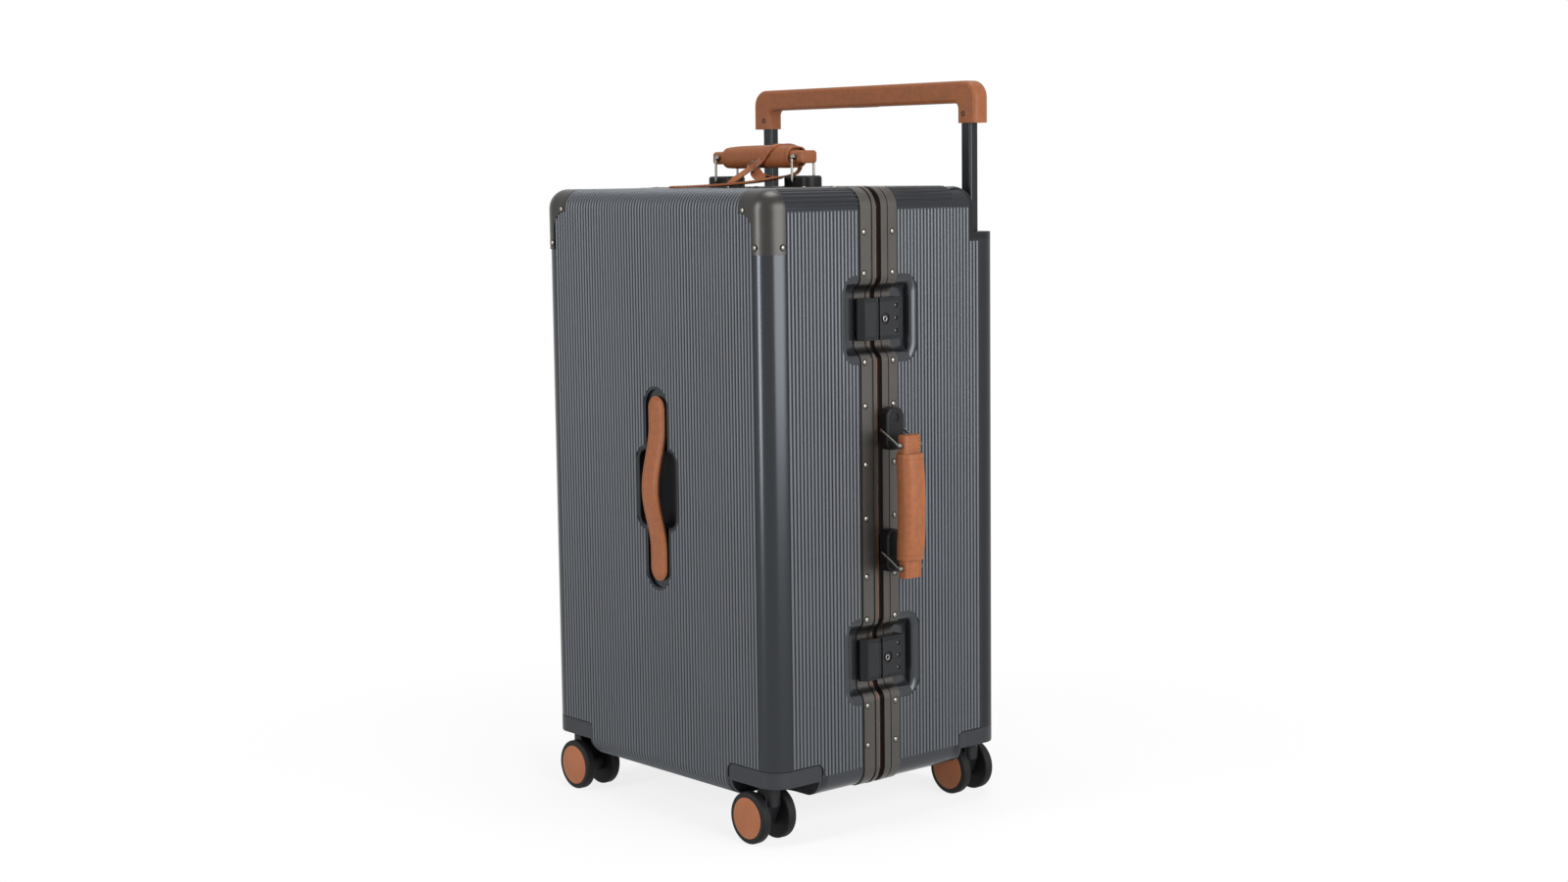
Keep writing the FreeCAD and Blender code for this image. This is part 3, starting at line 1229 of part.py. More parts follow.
def front_zones(margin):
    zones = [bay_zone(height, margin) for height in LOCK_HEIGHTS]
    zones += four_corners(housing_zone(margin, HOUSING_TOP + HOUSING_LIP + margin), -1)
    back = POCKET_DEPTH + WALL + margin
    zones.append(pocket_outline(WALL + margin).prism(on_xz(-HALF_DEPTH - FAR), Vector(0, FAR + back, 0)))
    deep = CUP_DEPTH + margin
    zones.append(cup_outline(CUP_FLANGE + margin).prism(on_xz(-HALF_DEPTH - FAR), Vector(0, FAR + deep, 0)))
    return zones


def rear_zones(margin):
    zones = [bay_zone(height, margin) for height in LOCK_HEIGHTS]
    zones += four_corners(housing_zone(margin, HOUSING_TOP + HOUSING_LIP + margin), 1)
    zones += [rail_zone(margin, FAR), flip_x(rail_zone(margin, FAR))]
    zones.append(span(-FAR, FAR, NOTCH_FRONT - EDGE_RADIUS - margin, FAR, TRAY_UNDER - margin, FAR))
    return zones


def front_lining():
    return lining(-FAR, STEP_FRONT - CLEAR, front_zones)


def rear_lining():
    return lining(BAND_BACK + CLEAR, FAR, rear_zones)


def packing_straps():
    """Two crossed straps flat on the back lining, with the buckle where they meet."""
    back_y = HALF_DEPTH - WALL - LINING_GAP - LINING - CLEAR
    centre = Vector(0, back_y, MID_Z)
    reach = math.hypot(PACK_STRAP_HALF_X, PACK_STRAP_HALF_Z)
    slope = math.degrees(math.atan2(PACK_STRAP_HALF_X, PACK_STRAP_HALF_Z))
    half = PACK_STRAP_WIDTH / 2
    band = span(-half, half, back_y - PACK_STRAP_THICK, back_y, MID_Z - reach, MID_Z + reach)
    axis = Vector(0, 1, 0)
    straps = turned(band, centre, axis, slope).fuse(turned(band, centre, axis, -slope))
    front = back_y - PACK_STRAP_THICK - PACK_BUCKLE_THICK
    half = PACK_BUCKLE / 2
    plate = rounded_rect(-half, half, MID_Z - half, MID_Z + half, half / 2)
    buckle = plate.prism(on_xz(front), Vector(0, PACK_BUCKLE_THICK, 0))
    return Part.makeCompound([straps, buckle])


def build():
    parts = {
        "front_shell": front_shell(),
        "rear_shell": rear_shell(),
        "front_frame": front_frame(),
        "rear_frame": rear_frame(),
        "frame_seal": frame_seal(),
        "front_rivets": front_rivets(),
        "rear_rivets": rear_rivets(),
        "corner_guards": corner_guards(),
        "front_wheel_housings": wheel_housings(-1),
        "rear_wheel_housings": wheel_housings(1),
        "handle_tray": handle_tray(),
        "trolley_rails": trolley_rails(),
        "trolley_tubes": trolley_tubes(),
        "trolley_grip": trolley_grip(),
        "release_button": release_button(),
        "strap_handle": strap_handle(),
        "strap_cup": strap_cup(),
        "lock_strikes": lock_strikes(),
        "hinge_lid_leaves": hinge_leaf(-1),
        "hinge_rear_leaves": hinge_leaf(1),
        "lid_feet": side_feet(LID_FOOT_Y),
        "rear_feet": side_feet(REAR_FOOT_Y),
        "front_lining": front_lining(),
        "rear_lining": rear_lining(),
        "packing_straps": packing_straps(),
        "luggage_tag": luggage_tag(),
        "tag_strap": tag_strap(),
    }
    mounts = {"top_handle_mounts": on_top, "side_handle_mounts": on_side}
    for name, place in mounts.items():
        parts[name] = Part.makeCompound([place(handle_mount(-1)), place(handle_mount(1))])
    parts["top_bail_left"] = on_top(handle_bail(-1, TOP_LINK))
    parts["top_bail_right"] = on_top(handle_bail(1, TOP_LINK))
    parts["top_grip"] = on_top(handle_grip(TOP_LINK))
    parts["side_bail_upper"] = on_side(dropped(handle_bail(-1, SIDE_LINK), -1))
    parts["side_bail_lower"] = on_side(dropped(handle_bail(1, SIDE_LINK), 1))
    parts["side_grip"] = side_grip()
    for lock, height in zip(("lower", "upper"), LOCK_HEIGHTS):
        parts["lock_base_" + lock] = lock_base(height)
        parts["latch_lever_" + lock] = latch_lever(height)
        parts["key_cylinder_" + lock] = key_cylinder(height)
        for step, dial in zip((-1, 0, 1), ("bottom", "middle", "top")):
            parts[f"dial_{dial}_{lock}"] = lock_dial(height, step)
    for y_side, half in ((-1, "front"), (1, "rear")):
        for x_side, hand in ((-1, "left"), (1, "right")):
            parts[f"caster_fork_{half}_{hand}"] = caster_fork(x_side, y_side)
            for along, place in ((-1, "near"), (1, "far")):
                parts[f"wheel_{half}_{hand}_{place}"] = caster_wheel(x_side, y_side, along)
    return parts


os.makedirs("parts", exist_ok=True)
for node, shape in build().items():
    shape.exportStep(f"parts/{node}.step")
    print(node, len(shape.Solids), round(shape.Volume / 1000, 1), shape.isValid())
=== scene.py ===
"""Looks of a ribbed trunk suitcase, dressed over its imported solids. Metres, +Z up, lid towards -Y."""
import json
import math

import bmesh
import bpy
from mathutils import Matrix, Vector

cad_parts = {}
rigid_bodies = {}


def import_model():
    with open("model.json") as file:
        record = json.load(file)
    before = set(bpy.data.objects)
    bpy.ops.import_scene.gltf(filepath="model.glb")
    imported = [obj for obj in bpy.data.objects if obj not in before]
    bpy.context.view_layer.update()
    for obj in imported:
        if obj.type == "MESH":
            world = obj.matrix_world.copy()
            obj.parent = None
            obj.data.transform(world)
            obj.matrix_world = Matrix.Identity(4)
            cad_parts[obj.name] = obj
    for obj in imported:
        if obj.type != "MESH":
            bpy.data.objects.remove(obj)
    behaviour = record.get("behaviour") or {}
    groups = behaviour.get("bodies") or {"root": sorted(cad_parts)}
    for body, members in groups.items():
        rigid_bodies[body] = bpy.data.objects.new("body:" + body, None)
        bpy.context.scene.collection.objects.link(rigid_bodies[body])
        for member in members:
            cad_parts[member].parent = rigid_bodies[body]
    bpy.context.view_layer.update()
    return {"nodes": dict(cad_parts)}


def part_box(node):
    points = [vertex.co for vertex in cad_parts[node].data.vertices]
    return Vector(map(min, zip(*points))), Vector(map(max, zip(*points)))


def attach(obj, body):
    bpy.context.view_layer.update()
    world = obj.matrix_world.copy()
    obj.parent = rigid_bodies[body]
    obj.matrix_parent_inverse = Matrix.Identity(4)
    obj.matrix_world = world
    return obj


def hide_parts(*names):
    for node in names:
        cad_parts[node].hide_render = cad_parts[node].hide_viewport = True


for leftover in list(bpy.data.objects):
    bpy.data.objects.remove(leftover)
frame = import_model()
nodes = frame["nodes"]

MM = 0.001

# Sizes shared with the solids
CASE_MIDDLE = Vector((0, 0, 393)) * MM
CASE_HALF = Vector((212, 180, 344)) * MM
CASE_EDGE = 22 * MM
CORNER_COLUMN = 25 * MM
RIB_PITCH = 5.3 * MM
LID_RIB_MIDDLE = -99.9 * MM
REAR_RIB_MIDDLE = 79.4 * MM
REAR_WRAP_TOP = 700 * MM
SIDE_RIB_TOP = 713.5 * MM
SLEEVE_LENGTH = 122 * MM
SLEEVE_ROUND = 11 * MM
CORE_WIDTH = 25 * MM
CORE_THICK = 15 * MM
CORE_ROUND = 4 * MM
MOUNT_PITCH = 141 * MM
MOUNT_SCREW_OUT = 13 * MM
STRAP_THICK = 4.5 * MM
STRAP_END_FLAT = 34 * MM
TAG_TURN = math.radians(36)
TAG_TILT = math.radians(3.5)
TAG_LENGTH = 132 * MM
TAG_WIDTH = 58 * MM
TAG_THICK = 2.5 * MM
TAG_CORNER = 14 * MM
CAP_RADIUS = 24.5 * MM
LOCK_PLATE_FRONT = -38 * MM
LOCK_SPLIT = (-21.2 * MM, -15.2 * MM)
LOCK_PLATE_BACK = 13.2 * MM
LOCK_PLATE_HALF = 19.6 * MM
DIAL_WINDOW_Y = 10 * MM
DIAL_PITCH = 14.6 * MM
WEBBING_WIDTH = 28 * MM
WEBBING_THICK = 1.6 * MM

# Sizes of the trim made here
STITCH_LENGTH = 2.6 * MM
STITCH_PITCH = 4.2 * MM
STITCH_THICK = 0.7 * MM
CORE_RIM = 1.6 * MM
SLEEVE_WALL = 2.2 * MM
SLEEVE_MOUTH = 7 * MM
SLEEVE_LIP = 0.3 * MM
SLEEVE_SLICES = 24
SLEEVE_TAPER = 0.02
PINCH_START = 0.72
PINCH_WIDTH = 0.02
PINCH_THICK = 0.06
TOP_BOW = 1 * MM
SIDE_BOW = 3.5 * MM
SLEEVE_SEAM_IN = 6 * MM
SLEEVE_SEAM_SIDE = 2.5 * MM
SLEEVE_SEAM_SPARE = 18 * MM
CORE_STITCHES = 4
CORE_STITCH_OUT = 5 * MM
CORE_STITCH_IN = 4.5 * MM
EYE_GAP = 0.3 * MM
STRAP_EDGE_THICK = 2.6 * MM
STRAP_EDGE_WIDTH = 4.2 * MM
STRAP_PAD_RISE = 7 * MM
STRAP_STITCH_IN = 2.6 * MM
STRAP_END_STITCHES = 10
TAG_CURL = 2.4 * MM
TAG_CURL_START = 0.3
TAG_SAG = 1.6 * MM
TAG_SLICES = 20
TAG_RIM = 5.5 * MM
TAG_RIM_SLOPE = 1.5 * MM
TAG_PANEL_SUNK = 0.4 * MM
TAG_STITCH_IN = 3 * MM
SOFT_EDGE = 0.6 * MM
BELT_WIDTH = 7.5 * MM
BELT_THICK = 1.8 * MM
BELT_POINT = 9 * MM
BELT_EDGE = 0.4 * MM
BELT_HOLES = (16, 30, 37, 44)
LOOP_REACH = 26 * MM
BUCKLE_WIRE = 0.85 * MM
BUCKLE_HALF_WIDTH = 7 * MM
BUCKLE_HALF_LENGTH = 5.5 * MM
BUCKLE_CORNER = 2.5 * MM
BUCKLE_PITCH = 1.2 * MM
PRONG_LENGTH = 6 * MM
PRONG_ROOT_UP = 0.6 * MM
PRONG_TIP_UP = 1.3 * MM
PRONG_SHARE = 0.8
ROD_OVERLAP = 1.25
MOUNT_SCREW = 4.1 * MM
GRIP_SCREW = 3.4 * MM
GRIP_SCREW_IN = 20 * MM
GRIP_SCREW_UP = 11 * MM
SCREW_SUNK = 1 * MM
PLATE_THICK = 0.35 * MM
PLATE_EDGE = 0.3 * MM
PLATE_CORNER = 0.4 * MM
PLATE_CREASE = 12
KEY_HOLE = 6.9 * MM
DIAL_HOLE = 2.6 * MM
SLOT_LENGTH = 17 * MM
SLOT_WIDTH = 1.3 * MM
SLOT_CORNER = 0.5 * MM
SLOT_THICK = 0.2 * MM
SLOT_EDGE = 0.1 * MM
SLOT_MIDDLE_Y = -2 * MM
SLOT_OFFSET = 22 * MM
WEBBING_STEPS = 24
WEBBING_CROSSING = 4
WEBBING_LIFT = 1.6 * MM
WEBBING_GAP = 0.1 * MM
CLIP_SIDE = 54 * MM
CLIP_THICK = 5.5 * MM
CLIP_OFFSET = 3.2 * MM
CLIP_CORNER = 13 * MM
CLIP_RIM = 6 * MM
CLIP_RIM_SLOPE = 2 * MM
CLIP_SUNK = 1.2 * MM
CLIP_EDGE = 0.8 * MM

# Finish of the ribbed shells
RIB_CREST = 0.25
RIB_SKIN = 0.1 * MM
FACET_SAG = 0.3 * MM
ON_BEND = 1e-7
RIB_METAL = 0.65
PLAIN_METAL = 0.95
BAY_REACH = 100 * MM
GRAIN_DEPTH = 0.08 * MM

# Routes of the tag's belt in millimetres: its loop round the sleeve, and two folds of its spare end
BELT_LOOP = (
    (-9.5, -52.5, 743.9), (-5, -47, 746.5), (1, -33, 756.5), (5, -25.4, 762.6), (13, -21.4, 768.6),
    (22, -20.2, 775), (28, -20.1, 781), (33, -13.4, 787.7), (40, 5.4, 787.7), (45, 12.1, 781),
    (47, 12.5, 768), (45, 12.2, 756.5), (36, 4, 751.6), (22, -10, 750.8), (10, -20.5, 755),
    (6, -23.4, 761.5))
BELT_FOLDS = (
    ((6, -23, 762), (4, -24.5, 756), (9, -26, 751.5), (18, -28.5, 748.8), (28, -33, 748), (38, -37, 748.4)),
    ((7, -22.4, 761), (12, -22.5, 756.5), (19, -25, 752.4), (27, -29.5, 750.6), (35, -34, 750.4)))
BUCKLE_SPOT = Vector((5.2, -26.1, 763.6)) * MM


def in_metres(*points):
    """Turns points given in millimetres into metres."""
    return [tuple(side * MM for side in point) for point in points]


def linear(red, green, blue):
    """A colour given in everyday 0 to 255 steps, as the shaders take it."""
    steps = []
    for step in (red, green, blue):
        share = step / 255
        steps.append(share / 12.92 if share <= 0.04045 else ((share + 0.055) / 1.055) ** 2.4)
    return (*steps, 1.0)


class Finish:
    """A material in the making: one shader fed by patterns on object coordinates."""

    def __init__(self, name, colour, roughness, metallic=0.0, specular=0.5):
        self.material = bpy.data.materials.new(name)
        self.material.use_nodes = True
        self.tree = self.material.node_tree
        self.shader = self.tree.nodes["Principled BSDF"]
        self.colour = colour
        self.shader.inputs["Base Color"].default_value = linear(*colour)
        self.shader.inputs["Roughness"].default_value = roughness
        self.shader.inputs["Metallic"].default_value = metallic
        self.shader.inputs["Specular IOR Level"].default_value = specular
        self.coords = self.add("ShaderNodeTexCoord").outputs["Object"]
        self.relief = None

    def add(self, kind, **settings):
        node = self.tree.nodes.new(kind)
        for key, value in settings.items():
            setattr(node, key, value)
        return node

    def join(self, source, target):
        self.tree.links.new(source, target)

    def feed(self, node, values):
        """Plain values go into a node's sockets, and outputs are linked to them."""
        for place, value in zip(node.inputs, values):
            if isinstance(value, bpy.types.NodeSocket):
                self.join(value, place)
            else:
                place.default_value = value
        return node

    def maths(self, operation, *values):
        return self.feed(self.add("ShaderNodeMath", operation=operation), values).outputs[0]

    def vectors(self, operation, *values):
        return self.feed(self.add("ShaderNodeVectorMath", operation=operation), values).outputs[0]

    def places(self):
        """The X, Y and Z of the point being shaded."""
        return self.feed(self.add("ShaderNodeSeparateXYZ"), [self.coords]).outputs

    def noise(self, scale, detail=3.0):
        node = self.add("ShaderNodeTexNoise")
        node.inputs["Scale"].default_value = scale
        node.inputs["Detail"].default_value = detail
        self.join(self.coords, node.inputs["Vector"])
        return node.outputs["Fac"]

    def cells(self, scale):
        node = self.add("ShaderNodeTexVoronoi", feature="SMOOTH_F1")
        node.inputs["Scale"].default_value = scale
        self.join(self.coords, node.inputs["Vector"])
        return node.outputs["Distance"]

    def threads(self, scale, direction):
        node = self.add("ShaderNodeTexWave", bands_direction=direction)
        node.inputs["Scale"].default_value = scale
        node.inputs["Distortion"].default_value = 0.6
        node.inputs["Detail Scale"].default_value = 2.0
        self.join(self.coords, node.inputs["Vector"])
        return node.outputs["Fac"]

    def shade(self, pattern, *stops):
        """Colour that follows a pattern: each stop is a place on it and a share of the own colour."""
        ramp = self.add("ShaderNodeValToRGB")
        marks = ramp.color_ramp.elements
        while len(marks) < len(stops):
            marks.new(1.0)
        for mark, (place, share) in zip(marks, stops):
            mark.position = place
            mark.color = linear(*[min(255, step * share) for step in self.colour])
        self.join(pattern, ramp.inputs["Fac"])
        self.join(ramp.outputs["Color"], self.shader.inputs["Base Color"])

    def gloss(self, pattern, low, high):
        node = self.add("ShaderNodeMapRange")
        node.inputs["To Min"].default_value = low
        node.inputs["To Max"].default_value = high
        self.join(pattern, node.inputs["Value"])
        self.join(node.outputs["Result"], self.shader.inputs["Roughness"])

    def emboss(self, pattern, strength, depth):
        node = self.add("ShaderNodeBump")
        node.inputs["Strength"].default_value = strength
        node.inputs["Distance"].default_value = depth
        self.join(pattern, node.inputs["Height"])
        if self.relief is not None:
            self.join(self.relief, node.inputs["Normal"])
        self.relief = node.outputs["Normal"]
        self.join(self.relief, self.shader.inputs["Normal"])

    def sheen(self, amount, tint):
        self.shader.inputs["Sheen Weight"].default_value = amount
        self.shader.inputs["Sheen Tint"].default_value = linear(*tint)


def leather_finish(name, colour):
    finish = Finish(name, colour, 0.5, specular=0.28)
    finish.shade(finish.noise(150, 6.0), (0.35, 0.95), (0.65, 1.04))
    finish.gloss(finish.noise(150, 4.0), 0.42, 0.6)
    finish.emboss(finish.cells(900), 0.3, 0.2 * MM)
    finish.emboss(finish.noise(330, 4.0), 0.15, 0.25 * MM)
    return finish.material


def plastic_finish(name, colour, roughness, grain, specular=0.4):
    finish = Finish(name, colour, roughness, specular=specular)
    finish.shade(finish.noise(22), (0.3, 0.94), (0.7, 1.06))
    finish.gloss(finish.noise(420), roughness - 0.06, roughness + 0.06)
    finish.emboss(finish.noise(1500, 2.0), grain, 0.12 * MM)
    return finish.material


def metal_finish(name, colour, roughness, metallic=1.0, blast=0.08):
    """Metal with a very fine even grain, as deep as it was blasted."""
    finish = Finish(name, colour, roughness, metallic)
    grain = finish.noise(1600, 2.0)
    finish.shade(finish.maths("MULTIPLY_ADD", grain, 0.5, finish.maths("MULTIPLY", finish.noise(14), 0.5)),
                 (0.35, 0.94), (0.65, 1.06))
    finish.gloss(grain, roughness - 0.05, roughness + 0.06)
    finish.emboss(grain, blast, GRAIN_DEPTH)
    return finish.material


def cloth_finish(name, colour, scale):
    finish = Finish(name, colour, 0.85)
    weave = finish.maths("MULTIPLY", finish.threads(scale, "X"), finish.threads(scale, "Z"))
    finish.shade(weave, (0.0, 0.72), (0.6, 1.1))
    finish.emboss(weave, 0.5, 0.25 * MM)
    finish.emboss(finish.noise(26, 3.0), 0.25, 1.2 * MM)
    finish.sheen(0.25, (210, 210, 215))
    return finish.material


def rib_groove(finish):
    """Runs from RIB_CREST on a rib to 1 half way to the next rib, and is 0 where the shells are plain."""
    half = RIB_PITCH / 2
    x, y, z = finish.places()
    away = finish.maths("ABSOLUTE", x)
    on_rear = finish.maths("GREATER_THAN", y, 0.0)
    rear_wrap = finish.maths("MULTIPLY", on_rear, finish.maths("LESS_THAN", z, REAR_WRAP_TOP))
    shift = finish.maths("MULTIPLY_ADD", rear_wrap, half, half)
    across = finish.maths("PINGPONG", finish.maths("ADD", x, shift), half)
    core = Vector((1, CASE_HALF.y - CASE_EDGE, CASE_HALF.z - CASE_EDGE))
    spread = finish.vectors("ABSOLUTE", finish.vectors("SUBTRACT", finish.coords, CASE_MIDDLE))
    past = finish.vectors("MAXIMUM", finish.vectors("SUBTRACT", spread, core), (0, 0, 0))
    reach = finish.feed(finish.add("ShaderNodeVectorMath", operation="LENGTH"), [past]).outputs["Value"]
    past_y, past_z = finish.feed(finish.add("ShaderNodeSeparateXYZ"), [past]).outputs[1:]
    on_bend = finish.maths("GREATER_THAN", finish.maths("MULTIPLY", past_y, past_z), ON_BEND)
    reach = finish.maths("MULTIPLY_ADD", on_bend, FACET_SAG, reach)
    on_wrap = finish.maths("MULTIPLY", finish.maths("GREATER_THAN", reach, CASE_EDGE + RIB_SKIN),
                           finish.maths("LESS_THAN", away, CASE_HALF.x - CORNER_COLUMN))
    lid_shift = half - LID_RIB_MIDDLE
    shift = finish.maths("MULTIPLY_ADD", on_rear, -REAR_RIB_MIDDLE - lid_shift, lid_shift)
    along = finish.maths("PINGPONG", finish.maths("ADD", y, shift), half)
    on_side = finish.maths("MULTIPLY", finish.maths("GREATER_THAN", away, CASE_HALF.x + RIB_SKIN),
                           finish.maths("LESS_THAN", z, SIDE_RIB_TOP))
    depth = finish.maths("MAXIMUM", finish.maths("MULTIPLY", across, on_wrap),
                         finish.maths("MULTIPLY", along, on_side))
    ribbed = finish.maths("MAXIMUM", on_wrap, on_side)
    crest = finish.maths("MULTIPLY", ribbed, RIB_CREST)
    return finish.maths("MULTIPLY_ADD", depth, (1 - RIB_CREST) / half, crest)


def shell_metal(finish, groove):
    """How metallic the shell is: more on plain columns and top edges than on ribs and in lock bays."""
    places = finish.places()
    column = finish.maths("GREATER_THAN", finish.maths("ABSOLUTE", places[1]), BAY_REACH)
    smooth = finish.maths("MAXIMUM", column, finish.maths("GREATER_THAN", places[2], SIDE_RIB_TOP))
    plain = finish.maths("MULTIPLY", smooth, finish.maths("LESS_THAN", groove, RIB_CREST / 2))
    return finish.maths("MULTIPLY_ADD", plain, PLAIN_METAL - RIB_METAL, RIB_METAL)


def shell_finish():
    """Slate shell: painted shade darkens plain columns, edges and grooves; painted highlight pales rib
    crests.
    """
    finish = Finish("slate_shell", (70, 73, 77), 0.3)
    groove = rib_groove(finish)
    cloud = finish.maths("MULTIPLY_ADD", finish.noise(9, 4.0), 0.1, -0.05)
    # Painted light: the ramp darkens plain zones and rib grooves as painted shade and pales rib crests as
    # painted highlight; the cloud is random tone.
    finish.shade(finish.maths("ADD", groove, cloud),
                 (0.08, 0.82), (0.16, 1.26), (0.72, 1.17), (0.84, 0.4), (0.94, 0.14))
    finish.join(shell_metal(finish, groove), finish.shader.inputs["Metallic"])
    finish.gloss(groove, 0.22, 0.7)
    finish.emboss(finish.noise(1900, 2.0), 0.05, GRAIN_DEPTH)
    return finish.material


def make_finishes():
    return {
        "shell": shell_finish(),
        "frame": metal_finish("warm_grey_frame", (82, 79, 76), 0.34, 0.9),
        "guard": metal_finish("warm_grey_guard", (62, 61, 59), 0.34, 0.9),
        "rivet": metal_finish("champagne_rivet", (134, 130, 121), 0.26, 1.0, 0.01),
        # rivet_ring is painted shadow round the rivet heads, and the own dark colour of the trolley grip's
        # screw heads.
        "ring": plastic_finish("rivet_ring", (18, 17, 16), 0.5, 0.1, 0.2),
        "seal": plastic_finish("brown_seal", (205, 118, 64), 0.6, 0.2, 0.25),
        "housing": plastic_finish("charcoal_housing", (40, 42, 46), 0.42, 0.25, 0.25),
        "rail": plastic_finish("rail_moulding", (24, 26, 30), 0.4, 0.2, 0.2),
        "black": plastic_finish("black_moulding", (15, 16, 18), 0.42, 0.3, 0.2),
        "lock": plastic_finish("lock_black", (20, 21, 23), 0.4, 0.2, 0.2),
        "plate": plastic_finish("lock_plate", (25, 26, 28), 0.38, 0.15, 0.25),
        "lens": plastic_finish("dial_window", (12, 13, 15), 0.14, 0.02, 0.6),
        "chrome": metal_finish("polished_insert", (150, 149, 145), 0.24, 1.0, 0.01),
        "steel": metal_finish("steel_wire", (112, 108, 103), 0.3, 1.0, 0.01),
        "hinge": metal_finish("hinge_steel", (100, 97, 93), 0.32),
        "tube": metal_finish("dark_tube", (35, 37, 39), 0.3, 0.7),
        "leather": leather_finish("tan_leather", (132, 77, 44)),
        "wrap": leather_finish("grip_leather", (130, 76, 44)),
        "edge": leather_finish("burnished_edge", (80, 45, 27)),
        "cap": plastic_finish("tan_cap", (148, 90, 58), 0.5, 0.25, 0.25),
        "thread": plastic_finish("seam_thread", (70, 39, 24), 0.8, 0.3, 0.2),
        "tyre": plastic_finish("wheel_tyre", (15, 15, 17), 0.6, 0.4, 0.2),
        "fork": plastic_finish("fork_moulding", (19, 20, 22), 0.48, 0.3, 0.22),
        "lining": cloth_finish("grey_lining", (74, 74, 78), 620),
        "webbing": cloth_finish("dark_webbing", (46, 47, 51), 420),
    }


NODE_FINISHES = {
    "shell": ("front_shell", "rear_shell"),
    "frame": ("front_frame", "rear_frame"),
    "guard": ("corner_guards",),
    "seal": ("frame_seal",),
    "housing": ("front_wheel_housings", "rear_wheel_housings"),
    "rail": ("trolley_rails",),
    "black": ("handle_tray", "strap_cup", "release_button", "lid_feet", "rear_feet", "top_handle_mounts",
              "side_handle_mounts"),
    "lock": ("lock_base_upper", "lock_base_lower", "latch_lever_upper", "latch_lever_lower", "lock_strikes",
             "key_cylinder_upper", "key_cylinder_lower"),
    "steel": ("top_bail_left", "top_bail_right", "side_bail_upper", "side_bail_lower"),
    "hinge": ("hinge_lid_leaves", "hinge_rear_leaves"),
    "tube": ("trolley_tubes",),
    "wrap": ("trolley_grip",),
}
CASTERS = [(half, hand) for half in ("front", "rear") for hand in ("left", "right")]
LOCKS = ("upper", "lower")
DIALS = ("bottom", "middle", "top")


def dress_nodes(finishes):
    for finish, names in NODE_FINISHES.items():
        for name in names:
            paint(nodes[name], finishes[finish])
    for half, hand in CASTERS:
        paint(nodes[f"caster_fork_{half}_{hand}"], finishes["fork"])
        for place in ("near", "far"):
            paint(nodes[f"wheel_{half}_{hand}_{place}"], finishes["tyre"])
    for lock in LOCKS:
        for dial in DIALS:
            paint(nodes[f"dial_{dial}_{lock}"], finishes["black"])


def paint(node, material):
    if not node.material_slots:
        node.data.materials.append(material)
    for place in node.material_slots:
        place.material = material


def piece(name, bm, body, slot, *materials, crease=40):
    """Turns a finished bmesh into an object that rides on a body."""
    bmesh.ops.remove_doubles(bm, verts=bm.verts[:], dist=1e-6)
    bmesh.ops.recalc_face_normals(bm, faces=bm.faces[:])
    mesh = bpy.data.meshes.new(name)
    bm.to_mesh(mesh)
    bm.free()
    mesh.shade_smooth()
    mesh.set_sharp_from_angle(angle=math.radians(crease))
    for material in materials:
        mesh.materials.append(material)
    made = bpy.data.objects.new(name, mesh)
    bpy.context.scene.collection.objects.link(made)
    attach(made, body)
    return made


def rounded(made, width, segments=3):
    modifier = made.modifiers.new("rounding", "BEVEL")
    modifier.width = width
    modifier.segments = segments
    modifier.limit_method = "ANGLE"
    return made


def bevel(bm, geom, width, segments, affect="EDGES"):
    bmesh.ops.bevel(bm, geom=geom, offset=width, offset_type="OFFSET", affect=affect, segments=segments,
                    profile=0.5, material=-1)


def edges_along(bm, axis):
    found = []
    for edge in bm.edges:
        run = edge.verts[1].co - edge.verts[0].co
        if run.length > 0 and abs(run.normalized()[axis]) > 0.999:
            found.append(edge)
    return found


def merge(bm, part, place):
    """Adds a finished shape to a larger one, put in place."""
    bmesh.ops.transform(part, matrix=place, verts=part.verts[:])
    mesh = bpy.data.meshes.new("part")
    part.to_mesh(mesh)
    part.free()
    bm.from_mesh(mesh)
    bpy.data.meshes.remove(mesh)


def add_turning(bm, profile, place, steps=48):
    """Spins a profile of (radius, height) points round the local Z axis and puts it in place."""
    part = bmesh.new()
    verts = [part.verts.new((radius, 0, height)) for radius, height in profile]
    edges = [part.edges.new(pair) for pair in zip(verts, verts[1:])]
    bmesh.ops.spin(part, geom=verts + edges, cent=(0, 0, 0), axis=(0, 0, 1), angle=2 * math.pi, steps=steps,
                   use_merge=True)
    merge(bm, part, place)


def doubled(bm):
    """Extrudes all the faces in place, and gives the new corners and the new edges."""
    made = bmesh.ops.extrude_face_region(bm, geom=bm.faces[:], use_keep_orig=True)["geom"]
    corners = [item for item in made if isinstance(item, bmesh.types.BMVert)]
    edges = [item for item in made if isinstance(item, bmesh.types.BMEdge)]
    return corners, edges


def slice_across(bm, length, count):
    """Cuts a shape of this length into equal slices along X, so that it can bend."""
    for step in range(1, count):
        cut = Vector((length * (step / count - 0.5), 0, 0))
        bmesh.ops.bisect_plane(bm, geom=bm.verts[:] + bm.edges[:] + bm.faces[:], plane_co=cut,
                               plane_no=(1, 0, 0))


def facing(direction, place):
    """A frame at place whose Z axis points along direction."""
    return Matrix.Translation(place) @ Vector(direction).to_track_quat("Z", "Y").to_matrix().to_4x4()


